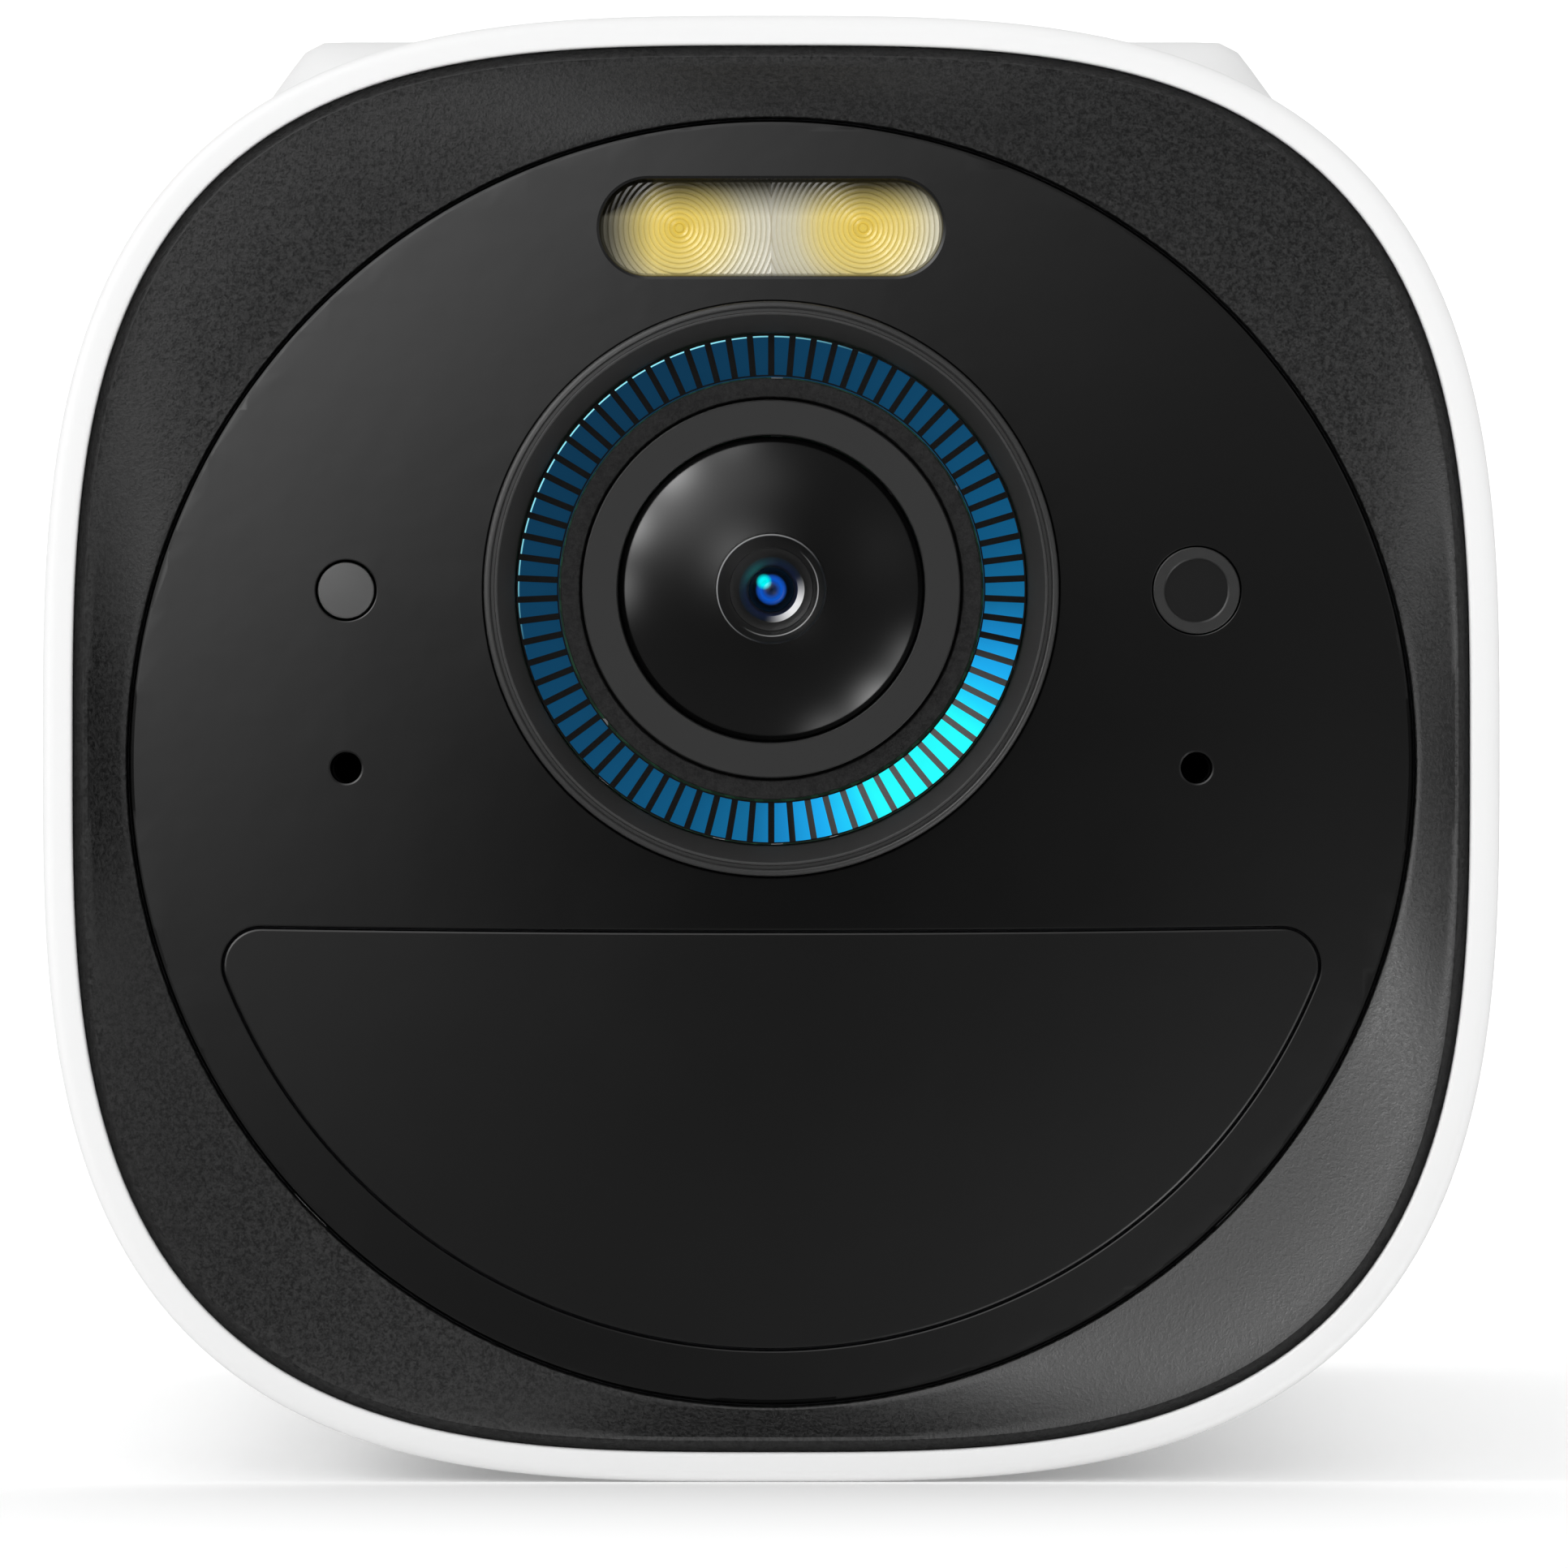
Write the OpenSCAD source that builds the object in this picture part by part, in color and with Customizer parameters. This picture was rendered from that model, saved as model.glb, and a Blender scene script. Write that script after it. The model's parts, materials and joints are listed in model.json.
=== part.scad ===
// Battery security camera with a two-lamp spotlight, built up from its separate pieces.
// The camera faces -Y and stands on Z = 0. Depth is measured back from the front rim,
// and heights inside the shell are measured from the middle of its outline.

/* [Shell] */
// Width across the front rim
body_w = 62; // [60:0.5:76]
// Height of the rounded-square outline
body_h = 62.4; // [60:0.5:76]
// Length from the front rim to the rear face
body_len = 126; // [125:1:160]
// Exponent of the outline: 2 is an ellipse and a larger one is squarer
squareness = 3.11; // [2.9:0.01:3.4]
// Thickness of the shell's wall
wall = 2; // [1.6:0.1:2.6]
// Width of the white rim seen from the front
rim = 1.25; // [1:0.05:1.6]
// Depth of the rear cover from its seam to the rear face
cover_len = 18; // [17:0.5:22]
// Radius of the rounded back edge
cover_round = 9; // [7:0.5:9.5]
// Thickness of the rear cover's back
cover_back = 2.6; // [2.4:0.1:3.2]

/* [Solar deck] */
// Height of the deck above the top of the outline
deck_rise = 0.2; // [0.1:0.05:0.8]
// Direction that the deck's shoulders face, above the horizontal
shoulder_angle = 36; // [34:0.5:40]
// Distance from the rim to where the deck starts to rise
deck_start = 20; // [18:1:24]
// Width of the glass
solar_w = 36; // [30:1:37]
// Thickness of the glass
solar_glass_t = 1; // [0.8:0.1:1.2]

/* [Front] */
// Least width of the textured bezel around the panel
bezel_w = 2.3; // [2:0.1:4]
// Distance that the panel sits below the middle of the outline
panel_drop = 0.57; // [0:0.01:1]
// Depth of the panel's middle behind the rim
panel_depth = 1.75; // [1.5:0.05:2.2]
// Distance that the panel's edge lies behind its middle
panel_crown = 1; // [0.5:0.05:1.4]
// Length of the spotlight window
spot_w = 14.6; // [12:0.1:18]
// Height of the spotlight window
spot_h = 4.1; // [3.6:0.1:4.8]
// Distance between the two lamps
lamp_pitch = 7.86; // [7:0.1:9]
// Radius of the corners of the motion window
pir_corner = 1.7; // [1:0.1:2.5]

/* [Lens] */
// Outer radius of the lens bezel
lens_bezel_r = 12.25; // [10.2:0.05:14.7]
// Width of the bezel's lip and cone
lip_w = 1.28; // [1.1:0.02:1.5]
// Width of the blue light ring
light_w = 1.75; // [1.5:0.05:2]
// Number of segments in the light ring
segments = 74; // [48:2:90]
// Width of the dark spoke between two segments
spoke_w = 0.24; // [0.16:0.02:0.4]
// Width of the textured ring inside the light ring
texture_w = 0.8; // [0.6:0.05:1]
// Width of the grey infrared window ring
ir_w = 1.5; // [1.3:0.05:1.7]
// Travel of the infrared filter between day and night
filter_travel = 5; // [4.6:0.1:5.2]

/* [Power] */
// Diameter of one battery cell
cell_d = 18.4; // [17:0.1:18.6]
// Length of one battery cell
cell_len = 65.2; // [60:0.1:65.4]
// Radius of the speaker
speaker_r = 9.5; // [7:0.5:9.5]

/* [Rear] */
// Radius of the tripod thread's bore
thread_r = 2.55; // [2.4:0.05:3]
// Length of the tripod thread
thread_len = 8; // [6:0.5:8.5]
// Width of the charge port's opening
port_w = 12.8; // [12.6:0.1:14]
// Height of the charge port's opening
port_h = 7; // [6.8:0.1:7.4]
// Radius of the sync button
button_r = 4; // [3:0.1:4.2]
// Travel of the sync button
button_travel = 0.6; // [0.3:0.05:0.8]

/* [Hidden] */

$fn = 96;
steps = 96;                  // points around the lofted outline
fit_gap = 0.05;              // between pieces that are glued or pressed in place
part_gap = 0.1;              // between pieces that are dropped into place
overlap = 0.3;               // how far a boss or rib runs into the wall that carries it
sides = [-1, 1];

// Heights, widths and places that follow from the driving sizes
mid_z = body_h / 2;
shell_len = body_len - cover_len;
deck_z = mid_z + deck_rise;
squareness_gain = 0.045;     // keeps an inset outline at an even distance
dual = squareness / (squareness - 1);
shoulder_reach = pow(pow(body_w / 2 * cos(shoulder_angle), dual)
    + pow(body_h / 2 * sin(shoulder_angle), dual), 1 / dual);
touch_x = body_w / 2 * pow(body_w / 2 * cos(shoulder_angle) / shoulder_reach, dual - 1);
touch_z = body_h / 2 * pow(body_h / 2 * sin(shoulder_angle) / shoulder_reach, dual - 1);
touch_angle = atan2(touch_z, touch_x);

// Solar deck, from the top down
solar_seal_w = 0.6;
solar_cell_t = 0.7;
solar_d0 = deck_start + 7;
solar_d1 = shell_len - 6.5;
pocket_z = deck_z - solar_glass_t - solar_cell_t;
pocket_floor = 1.4;
roof_z = pocket_z - pocket_floor;
lead_pitch = 1.6;
lead_r = 0.5;

// Front stack, as depths behind the rim
carrier_d0 = panel_depth + panel_crown + 1.85;
carrier_d1 = carrier_d0 + 2;
ledge_d0 = carrier_d1 + 1.4;
ledge_d1 = ledge_d0 + 2.5;
ledge_w = wall + 2;
board_t = 1.2;
side_board_d = ledge_d0 + 0.2;
bezel_side = rim + fit_gap;
corner_inset = 5.4;
corner_boss_r = 2.6;
front_boss_d1 = ledge_d0 + 8;

// Layout of the panel, from its top edge down
panel_r = min(body_w / 2 - rim - bezel_w,
    body_h / 2 - rim - bezel_w + 0.37 - panel_drop / 2);
panel_z = -panel_drop;
spot_z = panel_z + panel_r - 2.57 - spot_h / 2;
lens_z = spot_z - spot_h / 2 - 1.14 - lens_bezel_r;
pir_top = lens_z - lens_bezel_r - 2.14;
pir_r = panel_r - 2.3;
sensor_x = lens_bezel_r + 5.9;
sensor_z = lens_z - 0.06;
mic_z = lens_z - 7.63;
sensor_window_r = 1.2;
status_ring_r = 1.85;
status_core_r = 1.37;
mic_hole_r = 0.65;
mic_gasket_r = 1.5;

// Rings around the lens, from the outside in
ring_gap = 0.12;
bore_r = lens_bezel_r - lip_w;
light_r1 = bore_r - ring_gap;
light_r0 = light_r1 - light_w;
texture_r1 = light_r0 - ring_gap;
texture_r0 = texture_r1 - texture_w;
ir_r1 = texture_r0 - ring_gap;
ir_r0 = ir_r1 - ir_w;
dome_r = ir_r0 - ring_gap;
cup_floor_d0 = carrier_d1 - 0.2;
cup_floor_d1 = ledge_d0;
ring_board_t = 1;
ring_board_d = cup_floor_d0 - ring_board_t;
led_t = 0.9;

// Camera module behind the lens
dome_sag = 1.85;
dome_peak = 0.15;
dome_t = 1.2;
barrel_d0 = dome_peak + dome_sag + 1.1;
barrel_bore = dome_r - 1.25;
barrel_thread_r = dome_r - 0.5;
barrel_d1 = barrel_d0 + 17.3;
holder_r = barrel_thread_r + 1.2;
holder_d0 = cup_floor_d1 + 1;
holder_d1 = barrel_d1 - 0.4;
module_d1 = holder_d1 + 7.5;         // front face of the sensor board
filter_w = 4.4;
filter_h = 6;
carrier_w = 2 * filter_w + 1.6;
carrier_h = filter_h + 1.2;
case_in_w = carrier_w + filter_travel + 1;
case_out_w = case_in_w + 1.6;
case_top = 7.4;
case_bottom = -14.2;
case_wall = 0.8;
plate_d = holder_d1 + 1.8;           // fixed plate that the filter slides on
carrier_slide_d = plate_d + 1.2;
lever_angle = 22;
lever_arm = filter_travel / 2 / sin(lever_angle);
pin_r = 0.4;
slot_gap = 0.15;
pivot_z = -4.76 - lever_arm;
pivot_r = 0.8;
pivot_gap = 0.05;
hub_r = 1.8;
lever_d = carrier_slide_d + 1.3;
lever_t = 0.8;
post_r = 1.8;
post_x = case_out_w / 2 + post_r + 0.4;
post_z = [6, pir_top - lens_z + 3.9];
sensor_board_w = 2 * post_x + 4.4;

// Motion sensor behind the D-shaped window
pir_z = pir_top - 7;
pir_in = [22, 12];
pir_wall = 1;
pir_board_d = carrier_d1 + 7.4;

// Battery, cradle and main board
board_d0 = shell_len - 62;
board_d1 = shell_len - 14;
lead_d = board_d0 + 7;
board_w = 40;
board_z = roof_z - 9.1;
cradle_wall = 1;
cell_gap = 0.15;
cell_pitch = cell_d + 1.2;
cradle_half = cell_pitch / 2 + cell_d / 2 + cell_gap + cradle_wall;
standoff_h = 2.4;
battery_z = board_z - standoff_h - cradle_half;
tab_t = 0.3;
cell_d1 = shell_len - 0.6;
cell_d0 = cell_d1 - cell_len;
cradle_d0 = cell_d0 - tab_t - 1.2;
rail_x = 8;
rail_w = 2;
board_post_x = 16;
board_post_r = 2.2;
speaker_h = 5.2;
speaker_d = cradle_d0 - 1.2 - speaker_r;
speaker_z = 3.2;             // underside of the speaker above the ground
speaker_seat_w = 0.9;
grille_pitch = 2.6;

// Screws
screw_r = 1;
screw_head_r = 1.9;
screw_head_t = 1.2;

// Rear cover
lip_len = 3.5;
lip_t = 1.45;
seam_groove = 0.7;
rear_wall = wall + 0.2;
rear_floor = body_len - cover_back;
rear_boss_d0 = shell_len - 4;
port_board_d = shell_len + 4;
insert_flange_r = 7;
insert_flange_t = 1.2;
insert_r = thread_r + 2.95;
insert_len = thread_len + 0.5;
port_z = -13;
port_corner = 0.8;
port_mouth = body_len - 7.1;
socket_w = 8.94;
socket_h = 3.26;
flap_w = 16.8;
flap_t = 1.4;
flap_sink = 0.3;
flap_gap = 0.2;
hinge_z = port_z - port_h / 2 - 2.2;
flap_top = port_z + port_h / 2 + 1.15;
hinge_d = body_len - flap_sink - flap_t / 2;
hinge_pin_r = 0.4;
hinge_pin_gap = 0.08;
button_z = 13;
button_gap = 0.15;
button_sink = 0.4;
flange_w = 0.8;
flange_t = 1.2;
stem_r = 1.5;
switch_h = 3.2;
plunger_r = 1.6;
plunger_d0 = port_board_d + board_t + 1.8;
plunger_d1 = plunger_d0 + 2.6;

white = "#f4f4f4";
black = "#222222";
gloss_black = "#111111";
board_green = "#1d5a38";
steel = "#b8bbc0";

// Radius of the outline in one direction, moved in by an inset
function outline_radius(angle, inset) =
    let (exponent = squareness + squareness_gain * inset)
    pow(pow(abs(cos(angle)) / (body_w / 2 - inset), exponent)
        + pow(abs(sin(angle)) / (body_h / 2 - inset), exponent), -1 / exponent);

// Radius of the flat deck with its shoulders, which touch the outline
function deck_radius(angle) =
    let (fold = angle > 90 ? 180 - angle : angle)
    fold <= touch_angle ? outline_radius(angle, 0)
        : min(deck_z / sin(fold), shoulder_reach / cos(fold - shoulder_angle));

// Points of the outline: inset from the shell, lifted towards the deck, under a flat roof
function outline(inset, lift = 0, roof = 0) =
    [for (i = [0 : steps - 1])
        let (angle = i * 360 / steps,
             plain = outline_radius(angle, inset),
             raised = plain + lift * (deck_radius(angle) - outline_radius(angle, 0)),
             r = roof > 0 && sin(angle) > 0 ? min(raised, roof / sin(angle)) : raised)
        [r * cos(angle), r * sin(angle)]];

function at_depth(d, flat_points) = [for (p = flat_points) [p[0], d - body_len / 2, p[1] + mid_z]];
function ring(d, inset, lift = 0, roof = 0) = at_depth(d, outline(inset, lift, roof));
function round_ring(d, r, z) =
    at_depth(d, [for (i = [0 : steps - 1]) [r * cos(i * 360 / steps), z + r * sin(i * 360 / steps)]]);

// Centre of a corner screw, at an even distance inside the outline
function corner(side_x, side_z) =
    let (r = outline_radius(45, corner_inset)) [side_x * r * cos(45), side_z * r * sin(45)];

// Depth of the panel's crowned face at a distance from its middle
function crown(r) = panel_depth + panel_crown * pow(r / panel_r, 2);

// Skin through a list of rings that run front to back on the outside
module loft(rings, closed = false) {
    count = len(rings);
    span = closed ? count : count - 1;
    skin = [for (i = [0 : span - 1]) for (j = [0 : steps - 1])
        let (next = (i + 1) % count, k = (j + 1) % steps)
        [i * steps + j, i * steps + k, next * steps + k, next * steps + j]];
    caps = closed ? [] : [[for (j = [steps - 1 : -1 : 0]) j],
        [for (j = [0 : steps - 1]) (count - 1) * steps + j]];
    polyhedron([for (r = rings) each r], concat(skin, caps));
}

// Flat shape, drawn as seen from the front, between two depths
module slab(d0, d1) {
    translate([0, d1 - body_len / 2, mid_z]) rotate([90, 0, 0]) linear_extrude(d1 - d0) children();
}

module rod(d0, d1, r, x = 0, z = 0) {
    translate([x, d0 - body_len / 2, mid_z + z]) rotate([-90, 0, 0]) cylinder(h = d1 - d0, r = r);
}

module tube(d0, d1, r1, r0, x = 0, z = 0) {
    difference() {
        rod(d0, d1, r1, x, z);
        rod(d0 - 1, d1 + 1, r0, x, z);
    }
}

// Profile of radius and depth turned about a line along the depth
module turned(profile, x = 0, z = 0) {
    translate([x, -body_len / 2, mid_z + z]) rotate([-90, 0, 0]) rotate_extrude() polygon(profile);
}

module block(x0, x1, d0, d1, z0, z1) {
    translate([x0, d0 - body_len / 2, mid_z + z0]) cube([x1 - x0, d1 - d0, z1 - z0]);
}

module stadium(w, h) {
    square([w - h, h], center = true);
    for (side = sides) translate([side * (w - h) / 2, 0]) circle(h / 2);
}

module rounded_box(w, h, r) {
    square([w - 2 * r, h], center = true);
    square([w, h - 2 * r], center = true);
    for (side_x = sides) for (side_z = sides)
        translate([side_x * (w / 2 - r), side_z * (h / 2 - r)]) circle(r);
}

module at_corners() {
    for (side_x = sides) for (side_z = sides)
        translate([corner(side_x, side_z)[0], 0, corner(side_x, side_z)[1]]) children();
}

// Screw whose head ends at one depth and whose shank runs on from there
module screw(head_d, shank_len) {
    rod(head_d - screw_head_t, head_d, screw_head_r);
    rod(head_d, head_d + shank_len, screw_r);
}

// ---- Shell ----

module shell_tube() {
    deck_end = shell_len - 4;
    loft(concat(
        [ring(0.15, rim), ring(0, rim - 0.15), ring(0, 0.55), ring(0.16, 0.16), ring(0.55, 0)],
        [ring(deck_start, 0)],
        [for (t = [0.25 : 0.25 : 1]) ring(deck_start + 6 * t, 0, t * t * (3 - 2 * t))],
        [ring(deck_end, 0, 1), ring(deck_end + 2, 0, 0.5), ring(shell_len, 0)],
        [ring(shell_len, wall), ring(shell_len - lip_len - 0.5, wall)],
        [ring(shell_len - lip_len - 2.5, wall, 0, roof_z), ring(deck_start + 4, wall, 0, roof_z)],
        [ring(deck_start + 2.5, wall), ring(ledge_d1, wall)],
        [ring(ledge_d1, ledge_w), ring(ledge_d0, ledge_w), ring(ledge_d0, rim)]), closed = true);
}

// Corner boss with the web that joins it to the wall
module corner_boss(d0, d1) {
    rod(d0, d1, corner_boss_r);
}

module housing() {
    color(white) difference() {
        union() {
            shell_tube();
            at_corners() corner_boss(carrier_d1, front_boss_d1);
            at_corners() corner_boss(rear_boss_d0, shell_len);
            for (side_x = sides) for (side_z = sides)
                translate([corner(side_x, side_z)[0], 0, corner(side_x, side_z)[1] + mid_z])
                    rotate([0, -side_x * side_z * 45, 0])
                    translate([side_x > 0 ? 0 : -3.8, rear_boss_d0 - body_len / 2, -1.2])
                    cube([3.8, 4, 2.4]);
            for (side = sides)
                block(side * rail_x - rail_w / 2, side * rail_x + rail_w / 2,
                    cradle_d0 + 3, cell_d1 - 6, -mid_z + wall - overlap, battery_z - cradle_half);
            translate([0, speaker_d - body_len / 2, wall - overlap])
                cylinder(h = speaker_z + 1 - wall + overlap, r = speaker_r + speaker_seat_w);
        }
        at_corners() rod(carrier_d1 - 1, front_boss_d1 - 1, screw_r);
        at_corners() rod(rear_boss_d0 - 1, shell_len + 1, screw_r + part_gap);
        // Seat of the speaker, the well under it and the grille
        translate([0, speaker_d - body_len / 2, speaker_z])
            cylinder(h = 4, r = speaker_r + fit_gap);
        translate([0, speaker_d - body_len / 2, wall + 0.2])
            cylinder(h = 4, r = speaker_r - speaker_seat_w);
        for (lap = [0 : 2]) for (i = [0 : max(0, 6 * lap - 1)])
            rotate_about_speaker(i * 60 / max(lap, 1))
                translate([lap * grille_pitch, 0, -1]) cylinder(h = wall + 2.6, r = 0.6, $fn = 24);
        // Pocket for the solar cells and the way down for their lead
        block(-solar_w / 2 - solar_seal_w, solar_w / 2 + solar_seal_w, solar_d0, solar_d1,
            pocket_z, deck_z + 2);
        for (side = sides)
            translate([side * lead_pitch / 2, lead_d - body_len / 2, mid_z + roof_z - 1])
                cylinder(h = pocket_floor + 2, r = lead_r + part_gap, $fn = 24);
    }
}

module rotate_about_speaker(angle) {
    translate([0, speaker_d - body_len / 2, 0]) rotate([0, 0, angle]) children();
}

// The cup's rounded back: ring at an angle round the edge, for an outer or an inner radius
function back_ring(t, r, start, back) =
    ring(back - r + r * sin(t), start + r * (1 - cos(t)));

module cover_cup() {
    inner_round = cover_round - rear_wall;
    loft(concat(
        [for (t = [80 : -20 : 0]) back_ring(t, inner_round, rear_wall, rear_floor)],
        [ring(shell_len + 1.2, rear_wall), ring(shell_len, wall + part_gap + lip_t)],
        [ring(shell_len - lip_len, wall + part_gap + lip_t), ring(shell_len - lip_len, wall + part_gap)],
        [ring(shell_len, wall + part_gap)],
        [ring(shell_len, 1.65), ring(shell_len + seam_groove, 1.65)],
        [ring(shell_len + seam_groove, 0.75), ring(shell_len, 0.75), ring(shell_len, 0.15)],
        [ring(shell_len + 0.15, 0)],
        [for (t = [0 : 15 : 90]) back_ring(t, cover_round, 0, body_len)]));
}

module rear_cover() {
    color(white) difference() {
        union() {
            cover_cup();
            at_corners() rod(shell_len, shell_len + 12.5, corner_boss_r);
            rod(body_len - insert_len - 1.2, rear_floor + overlap, insert_r + 1.9);
            slab(port_board_d + board_t + 1.3, rear_floor + overlap) translate([0, port_z])
                rounded_box(port_w + 2, port_h + 2, port_corner + 1);
            for (side = sides)
                rod(port_board_d + board_t, rear_floor + overlap, post_r, side * 11.5, 3);
        }
        at_corners() rod(rear_boss_d0 - 1, shell_len, corner_boss_r + 1.6);
        at_corners() rod(shell_len - 1, shell_len + 8, screw_r);
        for (side = sides)
            rod(port_board_d, port_board_d + board_t + 6, screw_r, side * 11.5, 3);
        // Seat of the threaded insert
        rod(body_len - insert_len, body_len + 1, insert_r + fit_gap);
        rod(body_len - insert_flange_t, body_len + 1, insert_flange_r + fit_gap);
        // Charge port, the flap's recess and its hinge holes
        slab(port_board_d, body_len) translate([0, port_z]) rounded_box(port_w, port_h, port_corner);
        block(-flap_w / 2 - part_gap, flap_w / 2 + part_gap,
            body_len - flap_sink - flap_t - flap_gap, body_len + 1, hinge_z - 1.3, flap_top + 0.15);
        translate([-flap_w / 2 - 1.4, hinge_d - body_len / 2, mid_z + hinge_z]) rotate([0, 90, 0])
            cylinder(h = flap_w + 2.8, r = hinge_pin_r + hinge_pin_gap);
        // Hole for the sync button
        rod(rear_floor - 1, body_len + 1, button_r + button_gap, 0, button_z);
    }
}

module rear_gasket() {
    color("#3a3a3a") loft([ring(shell_len + seam_groove, 1.6), ring(shell_len + 0.02, 1.6),
        ring(shell_len + 0.02, 0.8), ring(shell_len + seam_groove, 0.8)], closed = true);
}

module rear_screws() {
    color(steel) at_corners() screw(rear_boss_d0, 11);
}

// ---- Front ----

module front_bezel() {
    hole_r = panel_r + part_gap;
    color(black) loft([round_ring(carrier_d0, hole_r, panel_z), round_ring(crown(panel_r), hole_r, panel_z),
        round_ring(crown(panel_r) - 0.15, hole_r + 0.12, panel_z),
        ring(0.5, bezel_side + 0.6), ring(0.45, bezel_side + 0.45), ring(0.52, bezel_side + 0.3),
        ring(0.85, bezel_side), ring(carrier_d0, bezel_side)], closed = true);
}

// Crowned disc that the panel and the motion window are cut from
module crowned_disc(rear) {
    bevel = 0.25;
    turned(concat([for (i = [0 : 10]) let (r = (panel_r - bevel) * i / 10) [r, crown(r)]],
        [[panel_r, crown(panel_r) + bevel], [panel_r, rear], [0, rear]]), 0, panel_z);
}

// D-shaped outline of the motion window, moved in by a gap
module pir_outline(gap) {
    offset(r = pir_corner - gap) offset(delta = -pir_corner) intersection() {
        translate([0, panel_z]) circle(pir_r);
        translate([-pir_r, pir_top - 2 * pir_r]) square([2 * pir_r, 2 * pir_r]);
    }
}

module front_panel() {
    color(gloss_black) difference() {
        crowned_disc(carrier_d0);
        rod(0, carrier_d0 + 1, lens_bezel_r + fit_gap, 0, lens_z);
        slab(0, carrier_d0 + 1) translate([0, spot_z]) stadium(spot_w, spot_h);
        rod(0, carrier_d0 + 1, sensor_window_r + part_gap, -sensor_x, sensor_z);
        rod(0, carrier_d0 + 1, status_ring_r + fit_gap, sensor_x, sensor_z);
        for (side = sides) rod(0, carrier_d0 + 1, mic_hole_r, side * sensor_x, mic_z);
        slab(0, carrier_d0 + 1) pir_outline(0);
    }
}

module sensor_posts() {
    for (side = sides) for (z = post_z)
        rod(carrier_d0 + 0.5, module_d1, post_r, side * post_x, lens_z + z);
}

module front_carrier() {
    color("#4a4c50") difference() {
        union() {
            slab(carrier_d0, carrier_d1) polygon(outline(bezel_side));
            rod(carrier_d0 + 0.5, cup_floor_d1, lens_bezel_r + 1.5, 0, lens_z);
            sensor_posts();
            for (side = sides) for (z = [mic_z - 3, sensor_z + 3.6])
                block(side * sensor_x - 2, side * sensor_x + 2,
                    carrier_d1 - 0.5, side_board_d, z - 0.7, z + 0.7);
        }
        rod(carrier_d0 - 1, cup_floor_d0, lens_bezel_r + fit_gap, 0, lens_z);
        rod(carrier_d0 - 1, cup_floor_d1 + 1, dome_r + 0.45, 0, lens_z);
        slab(carrier_d0 - 1, cup_floor_d1 + 1) translate([0, spot_z]) stadium(spot_w + 1.4, spot_h + 1.4);
        rod(carrier_d0 - 1, carrier_d1 + 1, sensor_window_r + 0.3, -sensor_x, sensor_z);
        rod(carrier_d0 - 1, carrier_d1 + 1, status_ring_r + part_gap, sensor_x, sensor_z);
        for (side = sides)
            rod(carrier_d0 - 1, carrier_d1 + 1, mic_gasket_r + fit_gap, side * sensor_x, mic_z);
        slab(carrier_d0 - 1, carrier_d1 + 1) translate([0, pir_z]) square(pir_in, center = true);
        at_corners() rod(carrier_d0 - 1, carrier_d0 + screw_head_t, screw_head_r + part_gap);
        at_corners() rod(carrier_d0, carrier_d1 + 1, screw_r + part_gap);
        for (side = sides) for (z = post_z)
            rod(module_d1 - 8, module_d1 + 1, screw_r, side * post_x, lens_z + z);
    }
}

module front_gasket() {
    color("#5b5b5b") difference() {
        slab(carrier_d1, ledge_d0) difference() {
            polygon(outline(rim + part_gap));
            polygon(outline(ledge_w - 0.1));
        }
        at_corners() rod(carrier_d1 - 1, ledge_d0 + 1, corner_boss_r + part_gap);
    }
}

module front_screws() {
    color(steel) at_corners() screw(carrier_d0 + screw_head_t, 7);
}

// ---- Solar deck ----

module solar_glass() {
    color("#16181d") block(-solar_w / 2, solar_w / 2, solar_d0 + solar_seal_w, solar_d1 - solar_seal_w,
        deck_z - solar_glass_t, deck_z);
}

module solar_cells() {
    rows = 6;
    x1 = solar_w / 2;
    d0 = solar_d0 + solar_seal_w;
    pitch = (solar_d1 - solar_seal_w - d0) / rows;
    color("#141a2e") union() {
        block(-x1, x1, d0, solar_d1 - solar_seal_w, pocket_z, pocket_z + 0.4);
        for (row = [0 : rows - 1]) for (column = [0 : 1])
            block(-x1 + 0.7 + column * x1, -0.7 + column * x1,
                d0 + row * pitch + 0.4, d0 + (row + 1) * pitch - 0.4, pocket_z + 0.3, deck_z - solar_glass_t);
    }
}

module solar_seal() {
    edge = solar_w / 2 + solar_seal_w;
    color("#d8dadc") difference() {
        block(-edge, edge, solar_d0, solar_d1, pocket_z, deck_z);
        block(-solar_w / 2, solar_w / 2, solar_d0 + solar_seal_w, solar_d1 - solar_seal_w,
            pocket_z - 1, deck_z + 1);
    }
}

module solar_lead() {
    for (side = sides)
        color(side > 0 ? "#b02020" : "#202020")
            translate([side * lead_pitch / 2, lead_d - body_len / 2, mid_z + board_z + board_t])
                cylinder(h = pocket_z - board_z - board_t, r = lead_r, $fn = 24);
}

// ---- Spotlight ----

module spotlight_lens() {
    color("#f3f0dc") union() {
        slab(crown(spot_z - panel_z) + 0.7, carrier_d0 + 0.4) translate([0, spot_z])
            stadium(spot_w - 2 * part_gap, spot_h - 2 * part_gap);
        slab(carrier_d0, carrier_d0 + 0.8) translate([0, spot_z]) stadium(spot_w + 1.2, spot_h + 1.2);
    }
}

module spotlight_reflector() {
    color("#e8e8e8") difference() {
        slab(carrier_d0 + 0.8, side_board_d - 0.2) translate([0, spot_z]) stadium(spot_w + 1.2, spot_h + 1.2);
        for (side = sides)
            translate([side * lamp_pitch / 2, carrier_d0 + 0.8 - body_len / 2, mid_z + spot_z])
                rotate([-90, 0, 0])
                cylinder(h = side_board_d - carrier_d0 - 1, r1 = spot_h / 2 - 0.2, r2 = 1.5);
    }
}

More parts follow.
